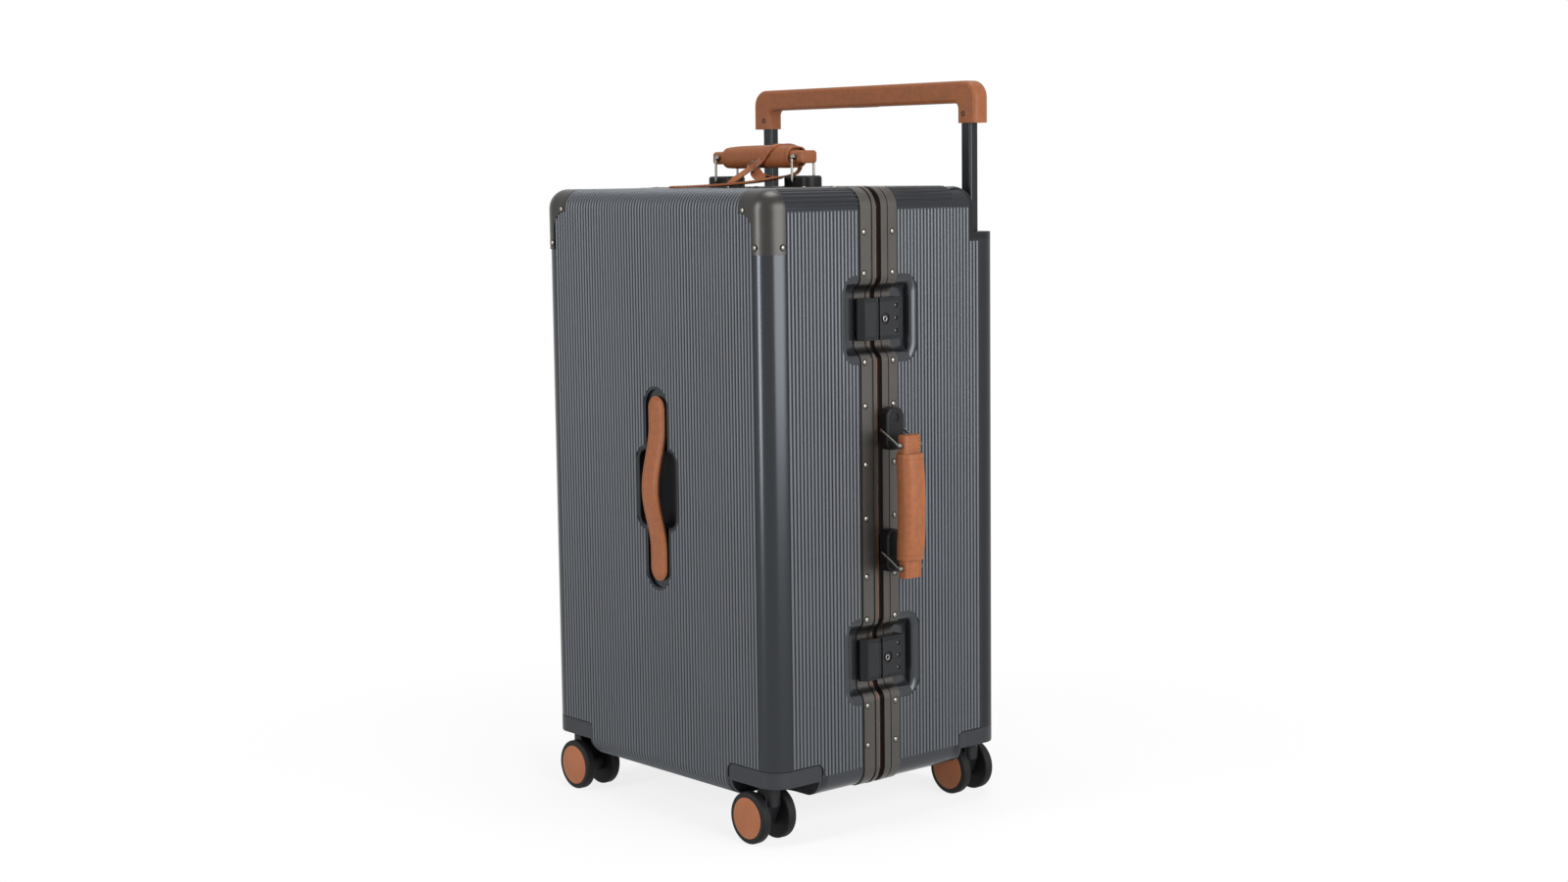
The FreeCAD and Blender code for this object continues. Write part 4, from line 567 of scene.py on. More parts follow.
def around(half_u, half_v, corner, pitch):
    """Evenly spaced (u, v, heading) steps round a rounded rectangle."""
    runs = []
    straight_u = 2 * (half_u - corner)
    straight_v = 2 * (half_v - corner)
    quarter = math.pi * corner / 2
    corners = ((1, -1, -90), (1, 1, 0), (-1, 1, 90), (-1, -1, 180))
    for (side_u, side_v, start), straight in zip(corners, (straight_v, straight_u, straight_v, straight_u)):
        centre = (side_u * (half_u - corner), side_v * (half_v - corner))
        runs.append(("turn", quarter, centre, start))
        runs.append(("run", straight, centre, start + 90))
    total = sum(run[1] for run in runs)
    count = round(total / pitch)
    steps = []
    for index in range(count):
        left = total * index / count
        for kind, length, centre, start in runs:
            if left <= length:
                break
            left -= length
        turn = math.radians(start)
        if kind == "turn":
            turn += left / corner
            offset = 0.0
        else:
            offset = left
        u = centre[0] + corner * math.cos(turn) - offset * math.sin(turn)
        v = centre[1] + corner * math.sin(turn) + offset * math.cos(turn)
        steps.append((u, v, turn + math.pi / 2))
    return steps


def add_stitch(bm, place, heading, out):
    """One stitch lying along heading on a surface whose normal is out."""
    ahead = heading.normalized()
    up = out.normalized()
    side = up.cross(ahead)
    turn = Matrix((ahead, side, up)).transposed().to_4x4()
    size = Matrix.Diagonal((STITCH_LENGTH / 2, STITCH_THICK / 2, STITCH_THICK / 2, 1))
    bmesh.ops.create_icosphere(bm, subdivisions=1, radius=1.0, matrix=Matrix.Translation(place) @ turn @ size)


def sleeve_pinch(x):
    """How much of its width and of its thickness the sleeve keeps at a place along it."""
    along = abs(x) / (SLEEVE_LENGTH / 2)
    end = max(0.0, along - PINCH_START) / (1 - PINCH_START)
    ease = end * end * (3 - 2 * end)
    return 1 - PINCH_WIDTH * ease, 1 - SLEEVE_TAPER * along ** 2 - PINCH_THICK * ease


def sleeve_spot(x, y, z, bow):
    """A point of the straight sleeve, moved to where the pinched and bowed sleeve has it."""
    keep_width, keep_thick = sleeve_pinch(x)
    along = x / (SLEEVE_LENGTH / 2)
    return Vector((x, y * keep_width, z * keep_thick + bow * (1 - along * along)))


def make_grip(node, body, turn, bow, finishes):
    """Leather handle: core with end blocks, an open-ended rolled sleeve and its stitching."""
    low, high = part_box(node)
    place = Matrix.Translation((low + high) / 2) @ turn
    size = turn.to_3x3().inverted() @ (high - low)
    length, width, thick = (abs(side) for side in size)
    bm = bmesh.new()
    bmesh.ops.create_cube(bm, size=1.0, matrix=Matrix.Diagonal((length, CORE_WIDTH, CORE_THICK, 1)))
    bevel(bm, edges_along(bm, 0), CORE_ROUND, 4)
    rims = [edge for edge in bm.edges if abs(edge.verts[0].co.x - edge.verts[1].co.x) < 1e-6]
    bevel(bm, rims, CORE_RIM, 3)
    bmesh.ops.transform(bm, matrix=place, verts=bm.verts[:])
    core = piece(f"{node}_core_leather", bm, body, "leather", finishes["leather"])
    bm = bmesh.new()
    bmesh.ops.create_cube(bm, size=1.0, matrix=Matrix.Diagonal((SLEEVE_LENGTH, width, thick, 1)))
    bevel(bm, edges_along(bm, 0), SLEEVE_ROUND, 7)
    mouths = [face for face in bm.faces if abs(face.normal.x) > 0.9]
    bmesh.ops.inset_region(bm, faces=mouths, thickness=SLEEVE_WALL, depth=0.0)
    bmesh.ops.inset_region(bm, faces=mouths, thickness=SLEEVE_LIP, depth=-SLEEVE_MOUTH)
    slice_across(bm, SLEEVE_LENGTH, SLEEVE_SLICES)
    for vert in bm.verts:
        vert.co = sleeve_spot(*vert.co, bow)
    bmesh.ops.transform(bm, matrix=place, verts=bm.verts[:])
    sleeve = piece(f"{node}_sleeve_leather", bm, body, "leather", finishes["leather"], crease=50)
    rounded(sleeve, SOFT_EDGE, 2)
    bm = bmesh.new()
    basis = place.to_3x3()
    for end in (-1, 1):
        x = end * (SLEEVE_LENGTH / 2 - SLEEVE_SEAM_IN)
        for y, z, heading in around(width / 2, thick / 2, SLEEVE_ROUND, STITCH_PITCH):
            out = Vector((0, math.sin(heading), -math.cos(heading)))
            ahead = Vector((0, math.cos(heading), math.sin(heading)))
            add_stitch(bm, place @ sleeve_spot(x, y, z, bow), basis @ ahead, basis @ out)
        for side in (-1, 1):
            for step in range(CORE_STITCHES):
                x = end * (SLEEVE_LENGTH / 2 + CORE_STITCH_OUT + step * STITCH_PITCH)
                spot = Vector((x, side * (CORE_WIDTH / 2 - CORE_STITCH_IN), CORE_THICK / 2))
                add_stitch(bm, place @ spot, basis @ Vector((1, 0, 0)), basis @ Vector((0, 0, 1)))
    seam = int((SLEEVE_LENGTH - SLEEVE_SEAM_SPARE) / STITCH_PITCH)
    for step in range(seam + 1):
        x = (step - seam / 2) * STITCH_PITCH
        spot = sleeve_spot(x, SLEEVE_SEAM_SIDE, -thick / 2, bow)
        add_stitch(bm, place @ spot, basis @ Vector((1, 0, 0)), basis @ Vector((0, 0, -1)))
    piece(f"{node}_stitching", bm, body, "leather", finishes["thread"])
    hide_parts(node)
    return place


def make_bail_eyes(name, body, pin, axis, finishes):
    """Round eye and domed pin head at each end of a bail's bar."""
    bm = bmesh.new()
    profile = in_metres((0, 5.6), (1.6, 5.4), (2.7, 4.6), (3.1, 3.4), (3.1, 2.4), (3.6, 2.0), (3.6, 0.4),
                        (2.2, 0), (0, 0))
    for side in (-1, 1):
        spot = pin + axis * side * (CORE_WIDTH / 2 + EYE_GAP)
        add_turning(bm, profile, facing(axis * side, spot), 24)
    piece(name, bm, body, "wire", finishes["steel"])


def make_front_strap(finishes):
    """Padded strap that bows over the finger cup, with thin stitched edges."""
    low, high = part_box("strap_handle")
    centre = (low + high) / 2
    half_width = (high.x - low.x) / 2
    half = (high.z - low.z) / 2
    seat = high.y
    rise = (high.y - low.y) - STRAP_THICK
    flat = half - STRAP_END_FLAT

    def bow(u):
        return rise * (0.5 + 0.5 * math.cos(math.pi * min(1.0, abs(u) / flat)))

    def reach(u):
        past = max(0.0, abs(u) - (half - half_width))
        return math.sqrt(max(0.0, half_width ** 2 - past ** 2))

    bm = bmesh.new()
    bmesh.ops.create_grid(bm, x_segments=20, y_segments=120, size=1.0)
    under = set(bm.verts)
    over = set(doubled(bm)[0])
    for face in bm.faces:
        corners = set(face.verts)
        face.material_index = 0 if corners <= under or corners <= over else 1
    for vert in bm.verts:
        spread, along = vert.co.x, vert.co.y
        u = math.sin(along * math.pi / 2) * half
        w = math.sin(spread * math.pi / 2) * reach(u)
        inset = min(reach(u) - abs(w), half - abs(u))
        swell = min(1.0, max(0.0, inset - STRAP_EDGE_WIDTH) / STRAP_PAD_RISE)
        pad = (STRAP_THICK - STRAP_EDGE_THICK) * math.sqrt(swell * (2 - swell))
        lift = STRAP_EDGE_THICK + pad if vert in over else 0.0
        vert.co = Vector((centre.x + w, seat - bow(u) - lift, centre.z + u))
    strap = piece("front_strap_leather", bm, "lid", "leather", finishes["leather"], finishes["edge"],
                  crease=60)
    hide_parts("strap_handle")
    bm = bmesh.new()
    straight = half - half_width
    ring = half_width - STRAP_STITCH_IN
    for side in (-1, 1):
        count = int(2 * straight / STITCH_PITCH)
        for index in range(count + 1):
            u = (2 * index / count - 1) * straight
            slope = (bow(u + 1e-4) - bow(u - 1e-4)) / 2e-4
            spot = Vector((centre.x + side * ring, seat - bow(u) - STRAP_EDGE_THICK, centre.z + u))
            add_stitch(bm, spot, Vector((0, -slope, 1)), Vector((0, -1, -slope)))
        for index in range(1, STRAP_END_STITCHES):
            turn = math.pi * index / STRAP_END_STITCHES
            spot = Vector((centre.x + ring * math.cos(turn), seat - STRAP_EDGE_THICK,
                           centre.z + side * (straight + ring * math.sin(turn))))
            add_stitch(bm, spot, Vector((-math.sin(turn), 0, side * math.cos(turn))), Vector((0, -1, 0)))
    piece("front_strap_stitching", bm, "lid", "leather", finishes["thread"])


def tag_bend(u):
    """Height of the limp tag over its straight plate: slack in the middle, curled at the handle's end."""
    share = u / (TAG_LENGTH / 2)
    curl = max(0.0, (share - TAG_CURL_START) / (1 - TAG_CURL_START))
    return TAG_CURL * curl ** 2 - TAG_SAG * (1 - share * share)


def make_tag(finishes):
    """Stitched leather label that lies on the lid's top."""
    low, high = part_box("luggage_tag")
    place = Matrix.Translation((low + high) / 2) @ Matrix.Rotation(TAG_TURN, 4, "Z")
    place = place @ Matrix.Rotation(-TAG_TILT, 4, "Y")
    bm = bmesh.new()
    bmesh.ops.create_grid(bm, x_segments=1, y_segments=1, size=0.5,
                          matrix=Matrix.Diagonal((TAG_LENGTH, TAG_WIDTH, 1, 1)))
    bevel(bm, bm.verts[:], TAG_CORNER, 8, "VERTICES")
    bmesh.ops.translate(bm, verts=bm.verts[:], vec=(0, 0, -TAG_THICK / 2))
    top = doubled(bm)[0]
    bmesh.ops.translate(bm, verts=top, vec=(0, 0, TAG_THICK))
    bmesh.ops.recalc_face_normals(bm, faces=bm.faces[:])
    panels = [face for face in bm.faces if abs(face.normal.z) > 0.9]
    bmesh.ops.inset_region(bm, faces=panels, thickness=TAG_RIM, depth=0.0)
    bmesh.ops.inset_region(bm, faces=panels, thickness=TAG_RIM_SLOPE, depth=-TAG_PANEL_SUNK)
    slice_across(bm, TAG_LENGTH, TAG_SLICES)
    for vert in bm.verts:
        vert.co.z += tag_bend(vert.co.x)
    bmesh.ops.transform(bm, matrix=place, verts=bm.verts[:])
    tag = piece("tag_leather", bm, "rear_half", "leather", finishes["leather"], crease=30)
    rounded(tag, SOFT_EDGE, 2)
    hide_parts("luggage_tag")
    bm = bmesh.new()
    basis = place.to_3x3()
    half_length = TAG_LENGTH / 2 - TAG_STITCH_IN
    half_width = TAG_WIDTH / 2 - TAG_STITCH_IN
    for u, v, heading in around(half_length, half_width, TAG_CORNER - TAG_STITCH_IN, STITCH_PITCH):
        ahead = Vector((math.cos(heading), math.sin(heading), 0))
        spot = Vector((u, v, TAG_THICK / 2 + tag_bend(u)))
        add_stitch(bm, place @ spot, basis @ ahead, basis @ Vector((0, 0, 1)))
    piece("tag_stitching", bm, "rear_half", "leather", finishes["thread"])


def add_belt(bm, points, outs, width, thick, taper=0.0):
    """A flat belt along points, facing the directions in outs. A taper cuts its first end to a point."""
    travelled = 0.0
    last = len(points) - 1
    for index, spot in enumerate(points):
        ahead = points[min(index + 1, last)] - points[max(index - 1, 0)]
        travelled += (spot - points[max(index - 1, 0)]).length
        share = min(1.0, 0.2 + travelled / taper) if taper else 1.0
        side = ahead.cross(outs[index]).normalized() * (width / 2 * share)
        up = side.cross(ahead).normalized() * thick
        corners = [spot - side, spot + side, spot + side + up, spot - side + up]
        if index == 0:
            face = bmesh.ops.create_grid(bm, x_segments=1, y_segments=1, size=1.0)["verts"][0].link_faces[0]
            order = list(range(4))
        else:
            made = bmesh.ops.extrude_face_region(bm, geom=[face], use_keep_orig=index == 1)
            face = [item for item in made["geom"] if isinstance(item, bmesh.types.BMFace)][0]
            order = [min(range(4), key=lambda place: (before[place] - vert.co).length) for vert in face.verts]
        for place, vert in zip(order, face.verts):
            vert.co = corners[place]
        before = corners


def spline_points(points, resolution=7):
    """Points read along one smooth curve that the given ones steer."""
    curve = bpy.data.curves.new("route", "CURVE")
    curve.dimensions = "3D"
    curve.resolution_u = resolution
    spline = curve.splines.new("NURBS")
    spline.points.add(len(points) - 1)
    for place, point in zip(spline.points, points):
        place.co = (*(Vector(point) * MM), 1.0)
    spline.order_u = 3
    spline.use_endpoint_u = True
    route = bpy.data.objects.new("route", curve)
    mesh = bpy.data.meshes.new_from_object(route)
    path = [vert.co.copy() for vert in mesh.vertices]
    bpy.data.objects.remove(route)
    bpy.data.curves.remove(curve)
    bpy.data.meshes.remove(mesh)
    return path


def make_tag_belt(finishes):
    """Narrow belt from the tag, through its buckle and loosely round the top handle's sleeve."""
    low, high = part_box("top_grip")
    axis = (low + high) / 2
    loop = spline_points(BELT_LOOP)
    outs = []
    for spot in loop:
        radial = Vector((0, spot.y - axis.y, spot.z - axis.z))
        outs.append(radial if radial.length < LOOP_REACH else Vector((0, -1, 0)))
    bm = bmesh.new()
    add_belt(bm, loop, outs, BELT_WIDTH, BELT_THICK, BELT_POINT)
    for route in BELT_FOLDS:
        fold = spline_points(route)
        add_belt(bm, fold, [Vector((0, -0.7, 0.7))] * len(fold), BELT_WIDTH, BELT_THICK)
    belt = piece("tag_belt_leather", bm, "rear_half", "leather", finishes["leather"], crease=50)
    rounded(belt, BELT_EDGE, 2)
    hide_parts("tag_strap")
    make_belt_holes(loop, outs, finishes)
    make_buckle(BUCKLE_SPOT, finishes)


def make_belt_holes(path, outs, finishes):
    """Row of small punched holes along the belt's middle."""
    bm = bmesh.new()
    punched = in_metres((0, 0.06), (0.9, 0.06), (1.1, -0.3), (0, -0.3))
    for step in BELT_HOLES:
        ahead = path[step + 1] - path[step - 1]
        side = ahead.cross(outs[step])
        out = side.cross(ahead).normalized()
        add_turning(bm, punched, facing(out, path[step] + out * BELT_THICK), 16)
    piece("tag_belt_holes", bm, "rear_half", "leather", finishes["edge"])


def make_buckle(spot, finishes):
    """Small wire buckle: a rounded frame and its prong."""
    ahead = Vector((0.5, 0.56, 0.66)).normalized()
    side = ahead.cross(Vector((0, -0.85, 0.5))).normalized()
    out = side.cross(ahead)
    bm = bmesh.new()
    ring = around(BUCKLE_HALF_WIDTH, BUCKLE_HALF_LENGTH, BUCKLE_CORNER, BUCKLE_PITCH)
    for first, second in zip(ring, ring[1:] + ring[:1]):
        start = spot + side * first[0] + ahead * first[1]
        end = spot + side * second[0] + ahead * second[1]
        add_rod(bm, start, end, BUCKLE_WIRE)
    root = spot - ahead * BUCKLE_HALF_LENGTH + out * PRONG_ROOT_UP
    tip = spot + ahead * PRONG_LENGTH + out * PRONG_TIP_UP
    add_rod(bm, root, tip, BUCKLE_WIRE * PRONG_SHARE)
    piece("tag_buckle", bm, "rear_half", "wire", finishes["steel"], crease=60)


def add_rod(bm, start, end, radius):
    run = end - start
    bmesh.ops.create_cone(bm, cap_ends=True, segments=10, radius1=radius, radius2=radius,
                          depth=run.length * ROD_OVERLAP, matrix=facing(run, (start + end) / 2))


def make_wheel_caps(finishes):
    """Tan dished caps on the outer faces of the wheels."""
    rim = CAP_RADIUS / MM
    profile = in_metres((0, 0.25), (8, 0.15), (16, -0.2), (22, -0.6), (rim - 1.2, -0.8), (rim - 0.3, -1.1),
                        (rim, -1.6), (rim - 1, -2.0), (0, -2.0))
    for half, hand in CASTERS:
        for place, along in (("near", -1), ("far", 1)):
            node = f"wheel_{half}_{hand}_{place}"
            low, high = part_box(node)
            centre = (low + high) / 2
            centre.y = low.y if along < 0 else high.y
            bm = bmesh.new()
            add_turning(bm, profile, facing((0, along, 0), centre), 64)
            piece(f"{node}_cap", bm, node, "wheel", finishes["cap"])


def make_screws(name, body, slot, spots, direction, radius, material):
    """Round screw heads with a sunk centre, at spots on a surface."""
    bm = bmesh.new()
    profile = [(0, -0.6 * MM), (0.4 * radius, -0.6 * MM), (0.46 * radius, 0.2 * MM),
               (0.72 * radius, 0.4 * MM), (0.93 * radius, 0.1 * MM), (radius, -0.9 * MM), (0, -0.9 * MM)]
    for spot in spots:
        add_turning(bm, profile, facing(direction, spot), 24)
    piece(name, bm, body, slot, material)


def make_all_screws(finishes):
    """Screws of the handle mounts and of the trolley grip's legs."""
    reach = MOUNT_PITCH / 2 + MOUNT_SCREW_OUT
    for node, out_axis, long_axis in (("top_handle_mounts", 2, 0), ("side_handle_mounts", 0, 2)):
        low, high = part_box(node)
        out = Vector((0, 0, 0))
        out[out_axis] = 1
        spots = []
        for side in (-1, 1):
            spot = (low + high) / 2
            spot[long_axis] += side * reach
            spot[out_axis] = high[out_axis] - SCREW_SUNK
            spots.append(spot)
        make_screws(f"{node}_screws", "rear_half", "lock_metal", spots, out, MOUNT_SCREW, finishes["lock"])
    low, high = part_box("trolley_grip")
    sides = (low.x + GRIP_SCREW_IN, high.x - GRIP_SCREW_IN)
    spots = [Vector((x, low.y, low.z + GRIP_SCREW_UP)) for x in sides]
    make_screws("trolley_grip_screws", "trolley", "black_plastic", spots, (0, -1, 0), GRIP_SCREW,
                finishes["ring"])


def add_plate(bm, place, width, length, corner, holes, thick, edge):
    """A flat plate with rounded corners, round holes and soft upper edges, standing thick above place."""
    part = bmesh.new()
    bmesh.ops.create_grid(part, x_segments=1, y_segments=1, size=0.5,
                          matrix=Matrix.Diagonal((width, length, 1, 1)))
    bevel(part, part.verts[:], corner, 6, "VERTICES")
    bmesh.ops.delete(part, geom=part.faces[:], context="FACES_ONLY")
    for u, v, radius in holes:
        bmesh.ops.create_circle(part, cap_ends=False, segments=32, radius=radius,
                                matrix=Matrix.Translation((u, v, 0)))
    bmesh.ops.triangle_fill(part, use_beauty=True, edges=part.edges[:], normal=(0, 0, 1))
    top, edges = doubled(part)
    bmesh.ops.translate(part, verts=top, vec=(0, 0, thick))
    rims = [item for item in edges if item.calc_face_angle(0.0) > 1]
    bevel(part, rims, edge, 2)
    merge(bm, part, place)


def make_lock_faces(finishes):
    """Face plates, side slots, key ring and dial lenses of each lock."""
    out = Vector((1, 0, 0))
    upright = Matrix(((0, 0, 1), (1, 0, 0), (0, 1, 0))).to_4x4()
    length = 2 * LOCK_PLATE_HALF
    dome = in_metres((0, -0.15), (1.2, -0.3), (2.1, -0.65), (2.5, -1.0), (0, -1.0))
    ring = in_metres((1.9, -0.2), (2.0, 0.35), (2.6, 0.55), (3.2, 0.35), (3.35, -0.2), (1.9, -0.2))
    for lock in LOCKS:
        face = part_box(f"lock_base_{lock}")[1].x
        low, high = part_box(f"key_cylinder_{lock}")
        key = (low + high) / 2
        windows = [Vector((face, DIAL_WINDOW_Y, key.z + step * DIAL_PITCH)) for step in (-1, 0, 1)]
        bores = [(key, KEY_HOLE)] + [(spot, DIAL_HOLE) for spot in windows]
        plates = (("lock", "rear_half", LOCK_SPLIT[1], LOCK_PLATE_BACK, bores),
                  ("latch", f"latch_{lock}", LOCK_PLATE_FRONT, LOCK_SPLIT[0], []))
        for part, body, front, back, cuts in plates:
            middle = (front + back) / 2
            holes = [(spot.y - middle, spot.z - key.z, radius) for spot, radius in cuts]
            bm = bmesh.new()
            add_plate(bm, Matrix.Translation((face, middle, key.z)) @ upright, back - front, length,
                      PLATE_CORNER, holes, PLATE_THICK, PLATE_EDGE)
            piece(f"{part}_plate_{lock}", bm, body, "lock_metal", finishes["plate"], crease=PLATE_CREASE)
        bm = bmesh.new()
        for side in (-1, 1):
            spot = Vector((face, SLOT_MIDDLE_Y, key.z + side * SLOT_OFFSET))
            add_plate(bm, Matrix.Translation(spot) @ upright, SLOT_LENGTH, SLOT_WIDTH, SLOT_CORNER, [],
                      SLOT_THICK, SLOT_EDGE)
        piece(f"lock_slots_{lock}", bm, "rear_half", "black_plastic", finishes["black"], crease=30)
        bm = bmesh.new()
        for spot in windows:
            add_turning(bm, dome, facing(out, spot), 24)
        piece(f"dial_lenses_{lock}", bm, "rear_half", "lock_insert", finishes["lens"])
        bm = bmesh.new()
        add_turning(bm, ring, facing(out, (high.x, key.y, key.z)), 36)
        piece(f"key_ring_{lock}", bm, f"key_{lock}", "lock_insert", finishes["chrome"])


def loose_boxes(node):
    """Corners of each separate lump of a node, in a fixed order."""
    bm = bmesh.new()
    bm.from_mesh(nodes[node].data)
    bmesh.ops.remove_doubles(bm, verts=bm.verts[:], dist=1e-5)
    waiting = set(bm.verts)
    boxes = []
    while waiting:
        pile = [waiting.pop()]
        spots = []
        while pile:
            vert = pile.pop()
            spots.append(vert.co.copy())
            for edge in vert.link_edges:
                other = edge.other_vert(vert)
                if other in waiting:
                    waiting.discard(other)
                    pile.append(other)
        low = Vector([min(spot[axis] for spot in spots) for axis in range(3)])
        high = Vector([max(spot[axis] for spot in spots) for axis in range(3)])
        boxes.append((low, high))
    bm.free()
    return sorted(boxes, key=lambda box: [round(side, 5) for side in box[0]])


def make_rivets(finishes):
    """Domed rivet heads, each with a dark ring under it as painted shadow round the head."""
    for node, body in (("front_rivets", "lid"), ("rear_rivets", "rear_half")):
        heads = bmesh.new()
        shadow_rings = bmesh.new()
        for low, high in loose_boxes(node):
            size = high - low
            axis = min(range(3), key=lambda side: size[side])
            radius = max(size) / 2
            spot = (low + high) / 2
            out = Vector((0, 0, 0))
            out[axis] = 1.0 if spot[axis] > CASE_MIDDLE[axis] else -1.0
            spot += out * size[axis] / 2
            base = -size[axis]
            dome = [(0, 0), (0.35 * radius, -0.08 * MM), (0.65 * radius, -0.3 * MM),
                    (0.88 * radius, -0.7 * MM), (radius, base + 0.1 * MM), (radius, base), (0, base)]
            add_turning(heads, dome, facing(out, spot), 20)
            # Painted shadow: a dark ring round each head stands in for the shade that the head casts.
            lip = base + 0.35 * MM
            ring = [(radius * 1.02, base), (radius * 1.02, lip), (radius * 1.22, lip), (radius * 1.3, base),
                    (radius * 1.02, base)]
            add_turning(shadow_rings, ring, facing(out, spot), 20)
        made = piece(f"{node}_heads", heads, body, "rivet", finishes["rivet"])
        piece(f"{node}_rings", shadow_rings, body, "rivet", finishes["ring"])
        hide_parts(node)


def make_linings(finishes):
    """Cloth that lines both halves, stretched over the shells' inner walls."""
    for node, body, shell in (("front_lining", "lid", "front_shell"),
                              ("rear_lining", "rear_half", "rear_shell")):
        bm = bmesh.new()
        bm.from_mesh(nodes[node].data)
        bmesh.ops.remove_doubles(bm, verts=bm.verts[:], dist=1e-5)
        area = sum(face.calc_area() for face in bm.faces) / 2
        cloth = piece(f"{node}_cloth", bm, body, "lining", finishes["lining"], crease=30)
        cloth.modifiers.new("flat_walls", "WEIGHTED_NORMAL").keep_sharp = True
        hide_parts(node)


def make_packing_straps(finishes):
    """Crossed webbing on the back lining with a clip where it meets."""
    low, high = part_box("packing_straps")
    centre = (low + high) / 2
    reach_x = (high.x - low.x) / 2 - WEBBING_WIDTH / 2
    reach_z = (high.z - low.z) / 2 - WEBBING_WIDTH / 2
    bm = bmesh.new()
    for lean in (-1, 1):
        start = Vector((centre.x - lean * reach_x, high.y, centre.z - reach_z))
        end = Vector((centre.x + lean * reach_x, high.y, centre.z + reach_z))
        path = [start.lerp(end, step / WEBBING_STEPS) for step in range(WEBBING_STEPS + 1)]
        for step, spot in enumerate(path):
            near = max(0.0, 1 - abs(step - WEBBING_STEPS / 2) / WEBBING_CROSSING)
            spot.y -= WEBBING_GAP + WEBBING_LIFT * (lean > 0) * near
        add_belt(bm, path, [Vector((0, -1, 0))] * len(path), WEBBING_WIDTH, WEBBING_THICK)
    straps = piece("packing_webbing", bm, "rear_half", "webbing", finishes["webbing"])
    rounded(straps, BELT_EDGE, 2)
    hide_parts("packing_straps")
    bm = bmesh.new()
    clip = Matrix.Translation((centre.x, low.y + CLIP_OFFSET, centre.z))
    clip = clip @ Matrix.Diagonal((CLIP_SIDE, CLIP_THICK, CLIP_SIDE, 1))
    bmesh.ops.create_cube(bm, size=1.0, matrix=clip)
    bevel(bm, edges_along(bm, 1), CLIP_CORNER, 6)
    front = [face for face in bm.faces if face.normal.y < -0.9]
    bmesh.ops.inset_region(bm, faces=front, thickness=CLIP_RIM, depth=0.0)
    bmesh.ops.inset_region(bm, faces=front, thickness=CLIP_RIM_SLOPE, depth=-CLIP_SUNK)
    rounded(piece("packing_clip", bm, "rear_half", "webbing", finishes["black"], crease=30), CLIP_EDGE)


FLOOR_HALF = 30.0
FLOOR_DROP = 0.5 * MM
FLOOR_GLOW = 0.82
SHADOW_REACH = (0.25, 0.9)
AMBIENT = 0.14
LAMP_AIM = Vector((0, 0, 0.4))
CAMERA_SPOT = (2.1668, -1.8400, 0.7589)
CAMERA_HEADING = math.radians(139.325)
CAMERA_DIP = math.radians(-6.58)
CAMERA_LEAN = math.radians(0.717)
CAMERA_LENS = 54.02
CAMERA_SENSOR = 36.0


def seen_rays(tree):
    """1 for the rays that show the background: straight from the camera, off gloss, or through glass."""
    path = tree.nodes.new("ShaderNodeLightPath")
    seen = path.outputs["Is Camera Ray"]
    for kind in ("Is Glossy Ray", "Is Transmission Ray"):
        either = tree.nodes.new("ShaderNodeMath")
        either.operation = "MAXIMUM"
        tree.links.new(seen, either.inputs[0])
        tree.links.new(path.outputs[kind], either.inputs[1])
        seen = either.outputs[0]
    return seen


def set_stage():
    scene = bpy.context.scene
    scene.view_settings.view_transform = "Standard"
    bm = bmesh.new()
    bmesh.ops.create_grid(bm, x_segments=1, y_segments=1, size=FLOOR_HALF)
    mesh = bpy.data.meshes.new("floor")
    bm.to_mesh(mesh)
    bm.free()
    floor = bpy.data.objects.new("floor", mesh)
    floor.location.z = -FLOOR_DROP
    scene.collection.objects.link(floor)
    finish = Finish("pale_floor", (250, 250, 250), 0.9, specular=0.0)
    paint(floor, finish.material)
    glow = finish.add("ShaderNodeEmission")
    mix = finish.add("ShaderNodeMixShader")
    fade = finish.add("ShaderNodeMapRange")
    away = finish.feed(finish.add("ShaderNodeVectorMath", operation="LENGTH"), [finish.coords])
    finish.feed(fade, [away.outputs["Value"], SHADOW_REACH[0], SHADOW_REACH[1], FLOOR_GLOW, 1.0])
    share = finish.maths("MULTIPLY", seen_rays(finish.tree), fade.outputs["Result"])
    finish.join(share, mix.inputs["Fac"])
    finish.join(finish.shader.outputs["BSDF"], mix.inputs[1])
    finish.join(glow.outputs["Emission"], mix.inputs[2])
    finish.join(mix.outputs["Shader"], finish.tree.nodes["Material Output"].inputs["Surface"])
    world = bpy.data.worlds.new("studio")
    scene.world = world
    world.use_nodes = True
    tree = world.node_tree
    sky = tree.nodes["Background"]
    sky.inputs["Color"].default_value = (1, 1, 1, 1)
    level = tree.nodes.new("ShaderNodeMapRange")
    level.inputs["To Min"].default_value = AMBIENT
    level.inputs["To Max"].default_value = 1.0
    tree.links.new(seen_rays(tree), level.inputs["Value"])
    tree.links.new(level.outputs["Result"], sky.inputs["Strength"])


def add_lamp(name, place, size, power):
    lamp = bpy.data.lights.new(name, "AREA")
    lamp.shape = "RECTANGLE"
    lamp.size, lamp.size_y = size
    lamp.energy = power
    made = bpy.data.objects.new(name, lamp)
    made.location = place
    made.rotation_euler = (LAMP_AIM - Vector(place)).to_track_quat("-Z", "Y").to_euler()
    bpy.context.scene.collection.objects.link(made)


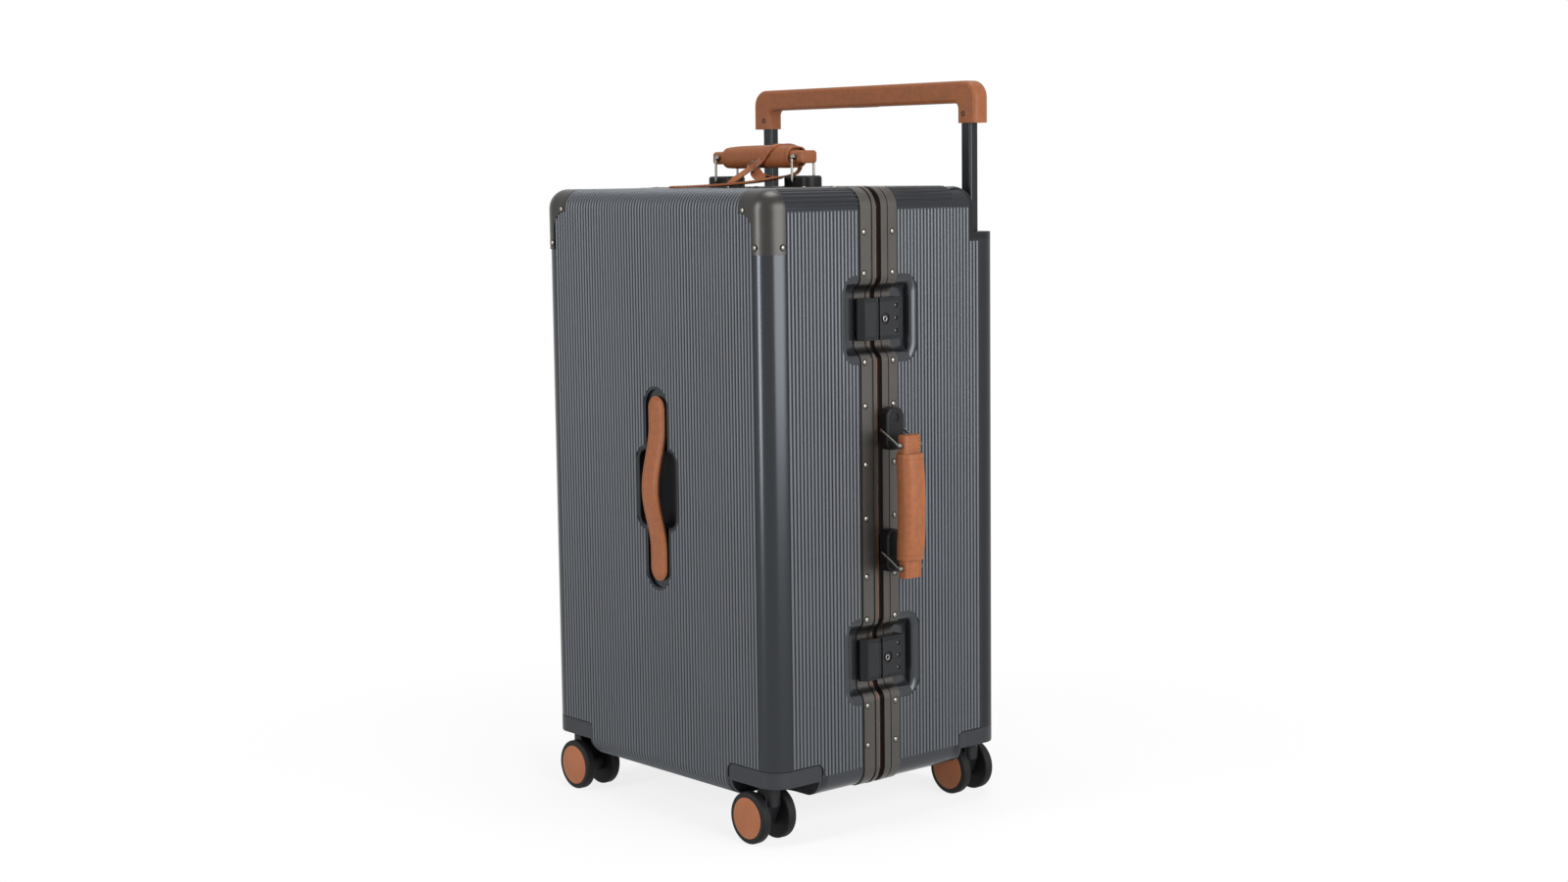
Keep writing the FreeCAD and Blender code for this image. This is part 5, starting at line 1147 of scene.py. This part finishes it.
def set_lamps():
    """A strip before the lid, a broad softbox beside the locks and a soft one overhead."""
    add_lamp("front_softbox", (-0.4, -2.6, 1.1), (0.6, 2.2), 48)
    add_lamp("side_softbox", (2.7, 0.0, 1.1), (2.6, 2.0), 92)
    add_lamp("top_softbox", (0, 0.2, 3.2), (1.4, 1.4), 46)


def set_camera():
    camera = bpy.data.cameras.new("view")
    camera.sensor_width = CAMERA_SENSOR
    camera.lens = CAMERA_LENS
    made = bpy.data.objects.new("view", camera)
    level = Vector((math.sin(CAMERA_HEADING), -math.cos(CAMERA_HEADING), 0))
    along = Vector((math.cos(CAMERA_HEADING), math.sin(CAMERA_HEADING), 0))
    ahead = along * math.cos(CAMERA_DIP) + Vector((0, 0, math.sin(CAMERA_DIP)))
    over = level.cross(ahead)
    right = level * math.cos(CAMERA_LEAN) - over * math.sin(CAMERA_LEAN)
    up = over * math.cos(CAMERA_LEAN) + level * math.sin(CAMERA_LEAN)
    turn = Matrix((right, up, -ahead)).transposed().to_4x4()
    made.matrix_world = Matrix.Translation(CAMERA_SPOT) @ turn
    bpy.context.scene.collection.objects.link(made)
    bpy.context.scene.camera = made


def make_handles(finishes):
    """Both carrying handles, with the eyes where their bails hold them."""
    across = Vector((0, 1, 0))
    half = MOUNT_PITCH / 2
    side_turn = Matrix.Rotation(math.radians(90), 4, "Y")
    top = make_grip("top_grip", "top_grip", Matrix.Identity(4), TOP_BOW, finishes)
    side = make_grip("side_grip", "side_grip", side_turn, SIDE_BOW, finishes)
    for body, place, end in (("top_bail_left", top, -1), ("top_bail_right", top, 1),
                             ("side_bail_upper", side, -1), ("side_bail_lower", side, 1)):
        make_bail_eyes(f"{body}_eyes", body, place @ Vector((end * half, 0, 0)), across, finishes)


def main():
    finishes = make_finishes()
    dress_nodes(finishes)
    make_handles(finishes)
    make_front_strap(finishes)
    make_tag(finishes)
    make_tag_belt(finishes)
    make_wheel_caps(finishes)
    make_all_screws(finishes)
    make_lock_faces(finishes)
    make_rivets(finishes)
    make_linings(finishes)
    make_packing_straps(finishes)
    set_stage()
    set_lamps()
    set_camera()


main()
